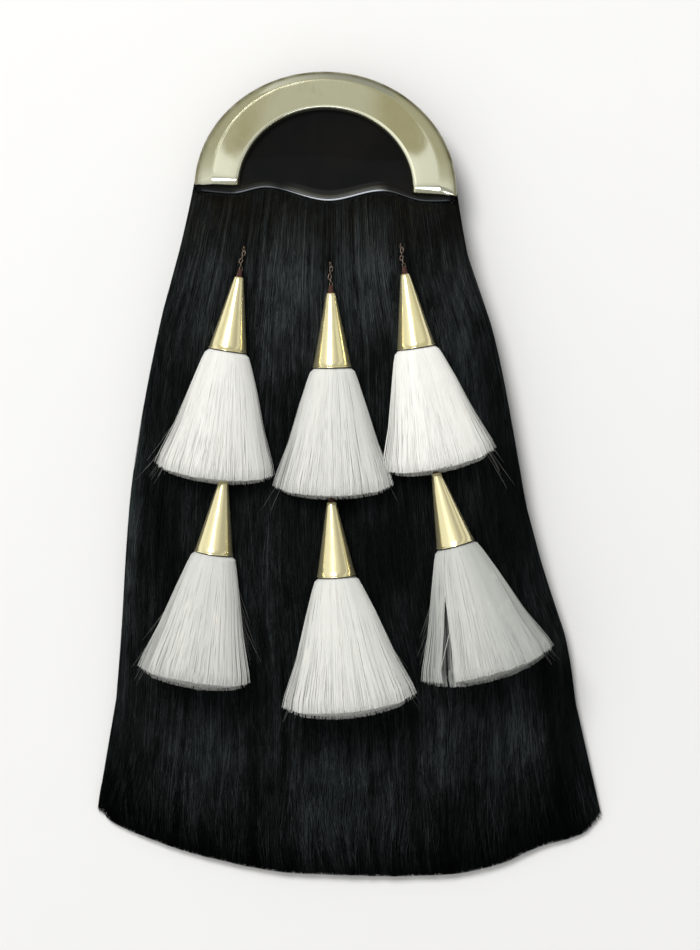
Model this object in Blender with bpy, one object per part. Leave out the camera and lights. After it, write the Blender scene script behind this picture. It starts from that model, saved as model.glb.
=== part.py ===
"""A horsehair sporran lying on its back: leather pouch, brass cantle, hair skirt and six tassels.

Metres, +Z up. The front faces +Z and the crown of the cantle points to +Y. The tables measure Y from the
line on which the cantle's two legs end. The empty called sporran then moves everything, so that the world's
origin lies on the flat belly of the pouch, where it rests on a table.
"""

import math

import bmesh
import bpy
from mathutils import Matrix, Vector

# Where things lie along Y and Z
BELLY_CENTRE_Y = -0.150
POUCH_FRONT_Z = 0.0250
GAP = 0.0003
SOFT_GAP = 0.0004
POUCH_ROOM_TOP = POUCH_FRONT_Z + SOFT_GAP
ARCH_STEPS = 24
CORNER_STEPS = 7
MERGE_DISTANCE = 0.00001
FLAT_ANGLE = math.radians(0.05)

# Brass cantle, a half ring of pressed sheet
CANTLE_OUTER = (0.0775, 0.0700)
CANTLE_INNER = (0.0507, 0.0470)
CANTLE_WALL = 0.0012
CANTLE_STATIONS = 34
CANTLE_FOOT_Z = 0.0278
CANTLE_SKIRT_Z = 0.0205
CANTLE_SKIRT_WALL = 0.0014

# Leather pouch and what is sewn to its back
LEATHER_WALL = 0.0025
POUCH_ARCH = (0.0756, 0.0681)
POUCH_HALF_WIDTH = 0.0720
POUCH_WAIST_Y = -0.0220
POUCH_END_Y = -0.2350
POUCH_CORNER = 0.0340
BACK_STEP_Z = 0.0100
BACK_STEP_TOP_Y = -0.0300
BACK_STEP_END_Y = -0.0850
BACK_STEP_CUTS = 6
MOUTH_HALF_WIDTH = 0.0440
MOUTH_TOP_Y = 0.0000
MOUTH_END_Y = -0.0100
CUTTER_REACH = 0.0040
FLAP_TOP_Y = 0.0080
FLAP_END_Y = -0.0300
FLAP_HALF_WIDTH = 0.0520
FLAP_CORNER = 0.0140
FLAP_THICKNESS = 0.0020
FLAP_EDGE = 0.0005
STUD_Y = -0.0210
STUD_RADIUS = 0.0055
STUD_HEIGHT = 0.0016
STUD_SIDES = 20
LOOP_X = 0.0380
LOOP_WIDTH = 0.0140
LOOP_STRAP_WIDTH = 0.0260
LOOP_STRAP_ROOM = 0.0055
LOOP_THICKNESS = 0.0020
LOOP_FOOT = 0.0055
LOOP_FOLD = 0.0006
LOOP_CENTRE_Y = 0.0310

# Patent leather front
PANEL_ARCH = (0.0757, 0.0682)
PANEL_THICKNESS = 0.0022
PANEL_COLUMN_COUNT = 36

# Tassels
CHAIN_RADIUS = 0.0013
CHAIN_LENGTH = 0.0185
CHAIN_POINTS = 15
CHAIN_CLEARANCE = 0.0004
CHAIN_BEND = 0.0008
CHAIN_IN_TIP = 0.0020
CHAIN_ON_HAIR = (0.23, 0.49, 0.75)
HOLE_SIDES = 12
CONE_LENGTH = 0.0440
CONE_TIP_RADIUS = 0.0027
CONE_MOUTH_RADIUS = 0.0112
CONE_WALL = 0.0008
CONE_LIP = 0.0010
CONE_LIP_ROLL = 0.0003
CONE_TIP_ROOM = 0.0006
CONE_SIDES = 18
TUFT_SHOULDER = 0.0142
TUFT_HALF_THICKNESS = 0.0118
TUFT_NECK_DEPTH = 0.0100
TUFT_NECK_ROOM = 0.0005
TUFT_REST_THICK = 1.01
REST_SAMPLES = 20
COVERED_CONE = 0.5
COVERED_CONE_STEPS = 8
TUFT_SIDES = 20

# Profile across the cantle's band: a share of the way from the outer to the inner edge, an inset, a height
CANTLE_PROFILE = (
    {"share": 0.0, "inset": CANTLE_SKIRT_WALL, "z": CANTLE_FOOT_Z},
    {"share": 0.0, "inset": CANTLE_SKIRT_WALL, "z": CANTLE_SKIRT_Z},
    {"share": 0.0, "inset": 0.0000, "z": CANTLE_SKIRT_Z},
    {"share": 0.0, "inset": 0.0000, "z": 0.0285},
    {"share": 0.0, "inset": 0.0006, "z": 0.0303},
    {"share": 0.0, "inset": 0.0020, "z": 0.0319},
    {"share": 0.0, "inset": 0.0052, "z": 0.0333},
    {"share": 0.5, "inset": 0.0000, "z": 0.0342},
    {"share": 1.0, "inset": -0.0034, "z": 0.0336},
    {"share": 1.0, "inset": -0.0014, "z": 0.0320},
    {"share": 1.0, "inset": -0.0003, "z": 0.0302},
    {"share": 1.0, "inset": 0.0000, "z": CANTLE_FOOT_Z},
)

# The hollow behind the cantle, which leaves the pressed sheet
CANTLE_HOLLOW_PROFILE = (
    {"share": 0.0, "inset": CANTLE_WALL, "z": 0.0100},
    {"share": 0.0, "inset": CANTLE_WALL, "z": 0.0284},
    {"share": 0.0, "inset": 0.0026, "z": 0.0307},
    {"share": 0.0, "inset": 0.0054, "z": 0.0321},
    {"share": 0.5, "inset": 0.0000, "z": 0.0330},
    {"share": 1.0, "inset": -0.0038, "z": 0.0324},
    {"share": 1.0, "inset": -0.0020, "z": 0.0309},
    {"share": 1.0, "inset": -CANTLE_WALL, "z": 0.0298},
    {"share": 1.0, "inset": -CANTLE_WALL, "z": 0.0100},
)

# How much of the cantle's height is left near the end of a leg
LEG_END = (
    {"from_end": 0.0000, "height": 0.42},
    {"from_end": 0.0007, "height": 0.66},
    {"from_end": 0.0022, "height": 0.84},
    {"from_end": 0.0060, "height": 1.00},
)

# The wavy hem of the patent leather: low under the cantle's legs and in the middle
HEM = (
    {"x": -0.0770, "y": -0.0040},
    {"x": -0.0560, "y": -0.0050},
    {"x": -0.0345, "y": -0.0004},
    {"x": 0.0010, "y": -0.0067},
    {"x": 0.0345, "y": 0.0004},
    {"x": 0.0590, "y": -0.0046},
    {"x": 0.0770, "y": -0.0036},
)

# The rolled lip along the hem: how far it stands over the flat leather
HEM_LIP = (
    {"from_hem": 0.0000, "rise": -0.0013},
    {"from_hem": 0.0002, "rise": -0.0002},
    {"from_hem": 0.0008, "rise": 0.0007},
    {"from_hem": 0.0015, "rise": 0.0010},
    {"from_hem": 0.0022, "rise": 0.0007},
    {"from_hem": 0.0029, "rise": 0.0001},
    {"from_hem": 0.0032, "rise": 0.0000},
)

# Rings of the pouch from front to back: how far each is drawn in, and its height
POUCH_RINGS = (
    {"inset": 0.0026, "z": POUCH_FRONT_Z},
    {"inset": 0.0008, "z": POUCH_FRONT_Z - 0.0008},
    {"inset": 0.0000, "z": POUCH_FRONT_Z - 0.0026},
    {"inset": 0.0000, "z": 0.0042},
    {"inset": 0.0012, "z": 0.0012},
    {"inset": 0.0042, "z": 0.0000},
)

# The hair skirt from the hem down, by share of its length: its side edges, the heights of its crest and rim,
# and how square its section is
HAIR_ROWS = (
    {"share": 0.00, "left": -0.0795, "right": 0.0795, "crest": 0.0284, "rim": 0.0120, "square": 9.0},
    {"share": 0.04, "left": -0.0814, "right": 0.0822, "crest": 0.0325, "rim": 0.0110, "square": 6.5},
    {"share": 0.10, "left": -0.0855, "right": 0.0871, "crest": 0.0358, "rim": 0.0100, "square": 5.0},
    {"share": 0.20, "left": -0.0940, "right": 0.1022, "crest": 0.0376, "rim": 0.0090, "square": 4.2},
    {"share": 0.40, "left": -0.1050, "right": 0.1202, "crest": 0.0382, "rim": 0.0076, "square": 4.0},
    {"share": 0.50, "left": -0.1083, "right": 0.1278, "crest": 0.0380, "rim": 0.0070, "square": 3.8},
    {"share": 0.60, "left": -0.1095, "right": 0.1384, "crest": 0.0366, "rim": 0.0064, "square": 3.4},
    {"share": 0.70, "left": -0.1101, "right": 0.1540, "crest": 0.0322, "rim": 0.0058, "square": 2.9},
    {"share": 0.80, "left": -0.1112, "right": 0.1616, "crest": 0.0270, "rim": 0.0052, "square": 2.5},
    {"share": 0.90, "left": -0.1133, "right": 0.1668, "crest": 0.0212, "rim": 0.0046, "square": 2.3},
    {"share": 0.96, "left": -0.1158, "right": 0.1722, "crest": 0.0170, "rim": 0.0042, "square": 2.2},
    {"share": 1.00, "left": -0.1166, "right": 0.1786, "crest": 0.0120, "rim": 0.0036, "square": 2.2},
)

# Where the skirt's trimmed end lies, by share of its width from the left
HAIR_END = (
    {"across": 0.00, "y": -0.3740},
    {"across": 0.03, "y": -0.3812},
    {"across": 0.10, "y": -0.3896},
    {"across": 0.20, "y": -0.3980},
    {"across": 0.40, "y": -0.4062},
    {"across": 0.55, "y": -0.4058},
    {"across": 0.70, "y": -0.4030},
    {"across": 0.80, "y": -0.3960},
    {"across": 0.88, "y": -0.3845},
    {"across": 0.96, "y": -0.3760},
    {"across": 1.00, "y": -0.3660},
)
HEM_ROOM = 0.0007
HAIR_ROW_COUNT = 24
HAIR_COLUMN_COUNT = 26
ROWS_TOWARDS_HEM = 1.25
SEARCH_STEPS = 12

# The tassels: tip of each cone, lean of its cone and tuft in degrees towards +X, length of the tuft and half
# its width at the end. The lower ones come first, because the upper tufts lie over their chains and cone tips
TASSELS = (
    {"name": "lower_left", "x": -0.0521, "y": -0.1735, "cone": -5.4, "tuft": -6.4,
     "long": 0.0768, "wide": 0.0323},
    {"name": "lower_middle", "x": 0.0116, "y": -0.1838, "cone": 6.3, "tuft": 8.6,
     "long": 0.0810, "wide": 0.0395},
    {"name": "lower_right", "x": 0.0721, "y": -0.1640, "cone": 17.9, "tuft": 17.3,
     "long": 0.0778, "wide": 0.0378},
    {"name": "upper_left", "x": -0.0484, "y": -0.0541, "cone": -6.3, "tuft": -3.4,
     "long": 0.0765, "wide": 0.0328},
    {"name": "upper_middle", "x": 0.0059, "y": -0.0612, "cone": 3.7, "tuft": 3.1,
     "long": 0.0767, "wide": 0.0333},
    {"name": "upper_right", "x": 0.0489, "y": -0.0481, "cone": 11.3, "tuft": 13.9,
     "long": 0.0748, "wide": 0.0317},
)

# Rings of a tuft below the cone's mouth, by share of its length: how far it has spread, its thickness, and
# how far it has bent from the cone's direction to its own
TUFT_RINGS = (
    {"share": 0.006, "spread": -0.16, "thick": 0.90, "bent": 0.0},
    {"share": 0.022, "spread": -0.03, "thick": 0.98, "bent": 0.0},
    {"share": 0.100, "spread": 0.08, "thick": 1.00, "bent": 0.5},
    {"share": 0.300, "spread": 0.27, "thick": 1.02, "bent": 1.0},
    {"share": 0.650, "spread": 0.63, "thick": 1.04, "bent": 1.0},
    {"share": 0.970, "spread": 1.00, "thick": 1.00, "bent": 1.0},
    {"share": 1.000, "spread": 0.96, "thick": 0.88, "bent": 1.0},
)

FINISHES = {
    "brass": {"colour": (0.78, 0.71, 0.50), "roughness": 0.16, "metallic": 1.0},
    "patent_leather": {"colour": (0.012, 0.013, 0.015), "roughness": 0.10, "metallic": 0.0},
    "leather": {"colour": (0.022, 0.021, 0.020), "roughness": 0.55, "metallic": 0.0},
    "black_hair": {"colour": (0.014, 0.015, 0.016), "roughness": 0.42, "metallic": 0.0},
    "white_hair": {"colour": (0.80, 0.79, 0.75), "roughness": 0.60, "metallic": 0.0},
    "chain": {"colour": (0.16, 0.12, 0.09), "roughness": 0.40, "metallic": 1.0},
}


def clear_scene():
    for old in list(bpy.data.objects):
        bpy.data.objects.remove(old)


def make_materials():
    made = {}
    for name, finish in FINISHES.items():
        material = bpy.data.materials.new(name)
        material.use_nodes = True
        shader = material.node_tree.nodes["Principled BSDF"]
        shader.inputs["Base Color"].default_value = (*finish["colour"], 1.0)
        shader.inputs["Roughness"].default_value = finish["roughness"]
        shader.inputs["Metallic"].default_value = finish["metallic"]
        made[name] = material
    return made


def read_table(rows, key, column, at):
    """A column of a table at a key between its rows, on a smooth curve that doesn't overshoot."""
    keys = [row[key] for row in rows]
    values = [row[column] for row in rows]
    if at <= keys[0]:
        return values[0]
    if at >= keys[-1]:
        return values[-1]
    i = next(n for n in range(len(keys) - 1) if at <= keys[n + 1])
    slopes = [(values[n + 1] - values[n]) / (keys[n + 1] - keys[n]) for n in range(len(keys) - 1)]

    def tangent(n):
        if n == 0 or n == len(keys) - 1:
            return slopes[min(n, len(slopes) - 1)]
        before, after = slopes[n - 1], slopes[n]
        return 2.0 * before * after / (before + after) if before * after > 0 else 0.0

    span = keys[i + 1] - keys[i]
    t = (at - keys[i]) / span
    return (
        (2 * t**3 - 3 * t**2 + 1) * values[i]
        + (t**3 - 2 * t**2 + t) * span * tangent(i)
        + (3 * t**2 - 2 * t**3) * values[i + 1]
        + (t**3 - t**2) * span * tangent(i + 1)
    )


def smooth_route(points, count):
    """A number of points on a smooth curve through the given ones."""
    ends = [2 * points[0] - points[1], *points, 2 * points[-1] - points[-2]]
    route = []
    for n in range(count):
        place = n / (count - 1) * (len(points) - 1)
        i = min(int(place), len(points) - 2)
        t = place - i
        a, b, c, d = ends[i : i + 4]
        bend = 2 * a - 5 * b + 4 * c - d
        twist = 3 * b - a - 3 * c + d
        route.append(b + 0.5 * ((c - a) * t + bend * t**2 + twist * t**3))
    return route


def loft(rings):
    """A solid that is one ring's face pushed out through the others, with its first end closed again."""
    bm = bmesh.new()
    face = bm.faces.new([bm.verts.new(point) for point in rings[0]])
    for ring in rings[1:]:
        face = bmesh.ops.extrude_discrete_faces(bm, faces=[face])["faces"][0]
        for vert, point in zip(face.verts, ring):
            vert.co = point
    bmesh.ops.holes_fill(bm, edges=[edge for edge in bm.edges if edge.is_boundary])
    bmesh.ops.recalc_face_normals(bm, faces=bm.faces)
    return bm


def close_below(bm, z):
    """Makes a sheet a solid with a flat underside, and drops the edges that its flat parts don't need."""
    under = bmesh.ops.extrude_face_region(bm, geom=bm.faces[:], use_keep_orig=True)["geom"]
    for part in under:
        if isinstance(part, bmesh.types.BMVert):
            part.co.z = z
    bmesh.ops.recalc_face_normals(bm, faces=bm.faces)
    bmesh.ops.dissolve_limit(bm, angle_limit=FLAT_ANGLE, verts=bm.verts[:], edges=bm.edges[:])


def turned(profile, sides):
    """A closed profile of radius and distance, turned about the Y axis and running to -Y."""
    bm = bmesh.new()
    verts = [bm.verts.new((radius, -along, 0.0)) for radius, along in profile]
    edges = [bm.edges.new((verts[n - 1], verts[n])) for n in range(len(verts))]
    return spun(bm, verts + edges, (0, 1, 0), sides)


def spun(bm, profile, axis, sides):
    """Turns a profile all the way round an axis through the origin."""
    turn = 2 * math.pi
    bmesh.ops.spin(bm, geom=profile, cent=(0, 0, 0), axis=axis, angle=turn, steps=sides, use_merge=True)
    bmesh.ops.remove_doubles(bm, verts=bm.verts, dist=MERGE_DISTANCE)
    bmesh.ops.recalc_face_normals(bm, faces=bm.faces)
    return bm


def tube_form(route, radius, sides):
    """A round rod along a route that stays near to one upright plane."""
    rings = []
    for n, place in enumerate(route):
        ahead = (route[min(n + 1, len(route) - 1)] - route[max(n - 1, 0)]).normalized()
        across = (route[-1] - route[0]).cross(Vector((0, 0, 1))).normalized()
        up = across.cross(ahead).normalized()
        turns = [2 * math.pi * m / sides for m in range(sides)]
        rings.append([place + radius * (across * math.cos(a) + up * math.sin(a)) for a in turns])
    return loft(rings)


def add_object(name, bm, material, root, sharp_degrees=35.0):
    mesh = bpy.data.meshes.new(name)
    bm.to_mesh(mesh)
    bm.free()
    if material:
        mesh.materials.append(material)
    mesh.shade_smooth()
    mesh.set_sharp_from_angle(angle=math.radians(sharp_degrees))
    made = bpy.data.objects.new(name, mesh)
    bpy.context.scene.collection.objects.link(made)
    made.parent = root
    return made


def cut(target, cutter):
    """Takes the cutter's shape out of the target, and hides the cutter."""
    cutter.hide_render = True
    cutter.display_type = "WIRE"
    modifier = target.modifiers.new("cut_" + cutter.name, "BOOLEAN")
    modifier.operation = "DIFFERENCE"
    modifier.solver = "EXACT"
    modifier.object = cutter


def add_tube(name, points, radius, material, root):
    curve = bpy.data.curves.new(name, "CURVE")
    curve.dimensions = "3D"
    curve.bevel_depth = radius
    curve.bevel_resolution = 2
    curve.use_fill_caps = True
    if material:
        curve.materials.append(material)
    spline = curve.splines.new("POLY")
    spline.points.add(len(points) - 1)
    for point, place in zip(spline.points, points):
        point.co = (*place, 1.0)
    made = bpy.data.objects.new(name, curve)
    bpy.context.scene.collection.objects.link(made)
    made.parent = root
    return made


# Brass cantle


def cantle_section(angle, profile, height, inset_y=0.0):
    """The profile's ring at one angle of the arch, lowered near the end of a leg."""
    outer = Vector((CANTLE_OUTER[0] * math.cos(angle), CANTLE_OUTER[1] * math.sin(angle) + inset_y))
    inner = Vector((CANTLE_INNER[0] * math.cos(angle), CANTLE_INNER[1] * math.sin(angle) + inset_y))
    inward = (inner - outer).normalized()
    ring = []
    for row in profile:
        place = outer.lerp(inner, row["share"]) + inward * row["inset"]
        z = row["z"]
        if z > CANTLE_FOOT_Z:
            z = CANTLE_FOOT_Z + (z - CANTLE_FOOT_Z) * height
        ring.append(Vector((place.x, place.y, z)))
    return ring


def cantle_form(profile, end_wall):
    """The cantle's arch as one solid from leg to leg, its ends drawn in by a wall's thickness."""
    near_ends = [math.asin(row["from_end"] / CANTLE_OUTER[1]) for row in LEG_END]
    first = near_ends[-1]
    steps = [first + (math.pi - 2 * first) * n / CANTLE_STATIONS for n in range(1, CANTLE_STATIONS)]
    angles = near_ends + steps + [math.pi - angle for angle in reversed(near_ends)]
    rings = []
    for angle in angles:
        from_end = CANTLE_OUTER[1] * math.sin(angle)
        height = read_table(LEG_END, "from_end", "height", from_end)
        inset_y = end_wall * max(0.0, 1.0 - from_end / LEG_END[-1]["from_end"])
        rings.append(cantle_section(angle, profile, height, inset_y))
    return loft(rings)


def make_cantle(materials, root):
    cantle = add_object("cantle", cantle_form(CANTLE_PROFILE, 0.0), materials["brass"], root, 50.0)
    hollow = add_object("cantle_hollow", cantle_form(CANTLE_HOLLOW_PROFILE, CANTLE_WALL), None, root)
    cut(cantle, hollow)


# Leather pouch


def pouch_outline(inset):
    """The pouch's outline from the front, drawn in by an inset, anticlockwise from the right of the arch."""
    points = []
    for n in range(ARCH_STEPS + 1):
        angle = math.pi * n / ARCH_STEPS
        points.append((POUCH_ARCH[0] * math.cos(angle), POUCH_ARCH[1] * math.sin(angle)))
    left = [(-POUCH_HALF_WIDTH, POUCH_WAIST_Y)]
    centre = Vector((-POUCH_HALF_WIDTH + POUCH_CORNER, POUCH_END_Y + POUCH_CORNER))
    for n in range(CORNER_STEPS + 1):
        angle = math.pi + math.pi / 2 * n / CORNER_STEPS
        left.append((centre.x + POUCH_CORNER * math.cos(angle), centre.y + POUCH_CORNER * math.sin(angle)))
    right = [(-x, y) for x, y in reversed(left)]
    points += left + right
    drawn_in = []
    for n, (x, y) in enumerate(points):
        before = Vector(points[n - 1])
        after = Vector(points[(n + 1) % len(points)])
        here = Vector((x, y))
        one, two = (here - before).normalized(), (after - here).normalized()
        inward = Vector((-one.y - two.y, one.x + two.x)).normalized()
        drawn_in.append(here + inward * inset / max(0.5, inward.dot(Vector((-one.y, one.x)))))
    return drawn_in


def back_rise(y):
    """How far the pouch's back stands off the table, which leaves room for the flap and the strap loops."""
    t = (y - BACK_STEP_END_Y) / (BACK_STEP_TOP_Y - BACK_STEP_END_Y)
    t = min(1.0, max(0.0, t))
    return BACK_STEP_Z * t * t * (3 - 2 * t)


def pouch_form(grow, front_z, back_z):
    """The pouch's outer form, or with grow below zero its hollow, between two heights."""
    rings = []
    for row in POUCH_RINGS:
        share = row["z"] / POUCH_FRONT_Z
        z = back_z + (front_z - back_z) * share
        rings.append([Vector((p.x, p.y, z)) for p in pouch_outline(row["inset"] - grow)])
    bm = loft(rings)
    for n in range(BACK_STEP_CUTS + 1):
        y = BACK_STEP_END_Y + (BACK_STEP_TOP_Y - BACK_STEP_END_Y) * n / BACK_STEP_CUTS
        whole = bm.verts[:] + bm.edges[:] + bm.faces[:]
        bmesh.ops.bisect_plane(bm, geom=whole, dist=MERGE_DISTANCE, plane_co=(0, y, 0), plane_no=(0, 1, 0))
    for vert in bm.verts:
        share = (vert.co.z - back_z) / (front_z - back_z)
        vert.co.z += back_rise(vert.co.y) * max(0.0, 1.0 - share)
    return bm


def box_form(low, high):
    bm = bmesh.new()
    bmesh.ops.create_cube(bm, size=1.0)
    low, high = Vector(low), Vector(high)
    bmesh.ops.scale(bm, vec=high - low, verts=bm.verts)
    bmesh.ops.translate(bm, vec=(low + high) / 2, verts=bm.verts)
    return bm


def make_pouch(materials, root):
    pouch = add_object("pouch", pouch_form(0.0, POUCH_FRONT_Z, 0.0), materials["leather"], root)
    hollow_form = pouch_form(-LEATHER_WALL, POUCH_FRONT_Z - LEATHER_WALL, LEATHER_WALL)
    cut(pouch, add_object("pouch_hollow", hollow_form, None, root))
    low = (-MOUTH_HALF_WIDTH, MOUTH_END_Y, BACK_STEP_Z - CUTTER_REACH)
    high = (MOUTH_HALF_WIDTH, MOUTH_TOP_Y, BACK_STEP_Z + LEATHER_WALL + CUTTER_REACH)
    cut(pouch, add_object("pouch_mouth", box_form(low, high), None, root))


def make_rear_flap(materials, root):
    """A plain flap over the mouth, sewn above it, with its closing stud."""
    corners = []
    for side, start in ((-1, math.pi), (1, 1.5 * math.pi)):
        centre = Vector((side * (FLAP_HALF_WIDTH - FLAP_CORNER), FLAP_END_Y + FLAP_CORNER))
        for n in range(CORNER_STEPS + 1):
            angle = start + math.pi / 2 * n / CORNER_STEPS
            corners.append(centre + FLAP_CORNER * Vector((math.cos(angle), math.sin(angle))))
    outline = [Vector((-FLAP_HALF_WIDTH, FLAP_TOP_Y)), *corners, Vector((FLAP_HALF_WIDTH, FLAP_TOP_Y))]
    high = BACK_STEP_Z - GAP
    low = high - FLAP_THICKNESS
    rings = [[Vector((p.x, p.y, z)) for p in outline] for z in (low, high)]
    flap = add_object("rear_flap", loft(rings), materials["leather"], root)
    edge = flap.modifiers.new("worn_edge", "BEVEL")
    edge.width = FLAP_EDGE
    edge.segments = 2
    profile = [
        (0.0, GAP),
        (STUD_RADIUS, GAP),
        (STUD_RADIUS, STUD_HEIGHT * 0.5),
        (STUD_RADIUS * 0.7, STUD_HEIGHT * 0.9),
        (0.0, STUD_HEIGHT),
    ]
    bm = bmesh.new()
    verts = [bm.verts.new((radius, 0.0, -along)) for radius, along in profile]
    edges = [bm.edges.new(pair) for pair in zip(verts, verts[1:])]
    spun(bm, verts + edges, (0, 0, 1), STUD_SIDES)
    stud = add_object("flap_stud", bm, materials["brass"], root)
    stud.location = (0.0, STUD_Y, low)


def make_strap_loops(materials, root):
    """Two leather keepers on the back, through which the belt of the sporran runs from side to side."""
    half = LOOP_STRAP_WIDTH / 2
    seat = -GAP
    foot = seat - LOOP_THICKNESS
    inner = seat - LOOP_STRAP_ROOM
    outer = inner - LOOP_THICKNESS
    riser = half + LOOP_THICKNESS
    right = [
        (half, seat),
        (riser + LOOP_FOOT, seat),
        (riser + LOOP_FOOT, foot),
        (riser + LOOP_FOLD, foot),
        (riser, foot - LOOP_FOLD),
        (riser, outer + 2 * LOOP_FOLD),
        (riser - 2 * LOOP_FOLD, outer),
    ]
    left = [(-y, z) for y, z in reversed(right)]
    outline = [(-half, inner), (half, inner), *right, *left]
    for name, x in (("strap_loop_left", -LOOP_X), ("strap_loop_right", LOOP_X)):
        rings = [[Vector((side * LOOP_WIDTH / 2, y, z)) for y, z in outline] for side in (-1, 1)]
        loop = add_object(name, loft(rings), materials["leather"], root)
        loop.location = (x, LOOP_CENTRE_Y, BACK_STEP_Z)


# Patent leather front


def hem_y(x):
    return read_table(HEM, "x", "y", x)


def make_panel(materials, root):
    """The patent leather front within the cantle, flat down to the rolled lip along its hem."""
    low = POUCH_FRONT_Z + GAP
    rows = len(HEM_LIP)
    bm = bmesh.new()
    bmesh.ops.create_grid(bm, x_segments=PANEL_COLUMN_COUNT, y_segments=rows, size=1.0)
    for vert in bm.verts:
        x = PANEL_ARCH[0] * math.sin(vert.co.x * math.pi / 2)
        row = round((vert.co.y + 1.0) / 2.0 * rows)
        y = PANEL_ARCH[1] * math.cos(vert.co.x * math.pi / 2)
        rise = 0.0
        if row < rows:
            y = hem_y(x) + HEM_LIP[row]["from_hem"]
            rise = HEM_LIP[row]["rise"]
        vert.co = (x, y, low + PANEL_THICKNESS + rise)
    close_below(bm, low)
    add_object("patent_panel", bm, materials["patent_leather"], root)


# Hair skirt


def hair_place(across, share):
    """The plan point at a share of the skirt's width and of its length."""
    left = read_table(HAIR_ROWS, "share", "left", share)
    right = read_table(HAIR_ROWS, "share", "right", share)
    x = left + (right - left) * across
    root_x = HAIR_ROWS[0]["left"] + (HAIR_ROWS[0]["right"] - HAIR_ROWS[0]["left"]) * across
    top = hem_y(root_x) - HEM_ROOM
    end = read_table(HAIR_END, "across", "y", across)
    return x, top + (end - top) * share


def hair_height(across, share):
    """The height of the skirt's front, crowned from side to side."""
    crest = read_table(HAIR_ROWS, "share", "crest", share)
    rim = read_table(HAIR_ROWS, "share", "rim", share)
    square = read_table(HAIR_ROWS, "share", "square", share)
    from_middle = min(1.0, abs(2.0 * across - 1.0))
    return rim + (crest - rim) * (1.0 - from_middle**square) ** (1.0 / square)


def hair_front(x, y):
    """The height of the skirt's front over a plan point."""
    across, share = 0.5, 0.5
    for _ in range(SEARCH_STEPS):
        left = read_table(HAIR_ROWS, "share", "left", share)
        right = read_table(HAIR_ROWS, "share", "right", share)
        across = min(1.0, max(0.0, (x - left) / (right - left)))
        top = hair_place(across, 0.0)[1]
        end = hair_place(across, 1.0)[1]
        share = min(1.0, max(0.0, (y - top) / (end - top)))
    return hair_height(across, share)


def make_hair_skirt(materials, root, chain_routes):
    """The skirt's outer form, which covers the pouch's front and sides and lies on the table below it."""
    bm = bmesh.new()
    bmesh.ops.create_grid(bm, x_segments=HAIR_COLUMN_COUNT, y_segments=HAIR_ROW_COUNT, size=1.0)
    for vert in bm.verts:
        across = 0.5 + 0.5 * math.sin(vert.co.x * math.pi / 2)
        share = (0.5 - 0.5 * vert.co.y) ** ROWS_TOWARDS_HEM
        x, y = hair_place(across, share)
        vert.co = (x, y, hair_height(across, share))
    close_below(bm, 0.0)
    skirt = add_object("hair_skirt", bm, materials["black_hair"], root, 60.0)
    outline = pouch_outline(-SOFT_GAP)
    rings = [[Vector((*p, z)) for p in outline] for z in (-CUTTER_REACH, POUCH_ROOM_TOP)]
    cut(skirt, add_object("pouch_room", loft(rings), None, root))
    for name, route in chain_routes.items():
        hole = tube_form(route, CHAIN_RADIUS + CHAIN_CLEARANCE, HOLE_SIDES)
        cut(skirt, add_object(name + "_hole", hole, None, root))


# Tassels


def lean_direction(degrees):
    angle = math.radians(degrees)
    return Vector((math.sin(angle), -math.cos(angle)))


def needed_height(place, below):
    """The least height of a surface over a plan point, above the skirt and whatever already lies there."""
    floor = hair_front(place.x, place.y)
    for point, radius in below:
        if (place - point.to_2d()).length < radius + SOFT_GAP:
            floor = max(floor, point.z + radius)
    return floor + SOFT_GAP


def resting_end(start, start_z, ahead, length, half_wide, half_thick, below):
    """The height at the far end of a straight piece that starts at start_z and clears what it lies on."""
    side = Vector((-ahead.y, ahead.x))
    end_z = 0.0
    for n in range(3, REST_SAMPLES + 1):
        share = n / REST_SAMPLES
        for m in range(-REST_SAMPLES // 2, REST_SAMPLES // 2 + 1):
            offset = 2 * m / REST_SAMPLES
            place = start + ahead * length * share + side * half_wide(share) * offset
            drop = half_thick(share) * math.sqrt(1.0 - offset**2)
            end_z = max(end_z, start_z + (needed_height(place, below) + drop - start_z) / share)
    return end_z


def place_tassel(tassel, below):
    """Works out where a tassel's chain, cone and tuft lie on the skirt."""
    tip = Vector((tassel["x"], tassel["y"]))
    cone_ahead = lean_direction(tassel["cone"])
    tuft_ahead = lean_direction(tassel["tuft"])
    tip_z = needed_height(tip, ()) + CONE_TIP_RADIUS + CONE_TIP_ROOM

    def cone_radius(share):
        return CONE_TIP_RADIUS + (CONE_MOUTH_RADIUS - CONE_TIP_RADIUS) * share

    mouth_z = resting_end(tip, tip_z, cone_ahead, CONE_LENGTH, cone_radius, cone_radius, ())
    mouth = tip + cone_ahead * CONE_LENGTH
    mouth_z = max(mouth_z, needed_height(mouth, ()) + TUFT_HALF_THICKNESS * TUFT_REST_THICK)

    def tuft_width(share):
        return TUFT_SHOULDER + (tassel["wide"] - TUFT_SHOULDER) * share

    def tuft_thickness(share):
        return TUFT_HALF_THICKNESS * TUFT_REST_THICK

    end_z = resting_end(mouth, mouth_z, tuft_ahead, tassel["long"], tuft_width, tuft_thickness, below)
    return {
        "name": tassel["name"],
        "tip": Vector((tip.x, tip.y, tip_z)),
        "mouth": Vector((mouth.x, mouth.y, mouth_z)),
        "tuft_ahead": tuft_ahead,
        "end_z": end_z,
        "long": tassel["long"],
        "wide": tassel["wide"],
    }


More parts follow.
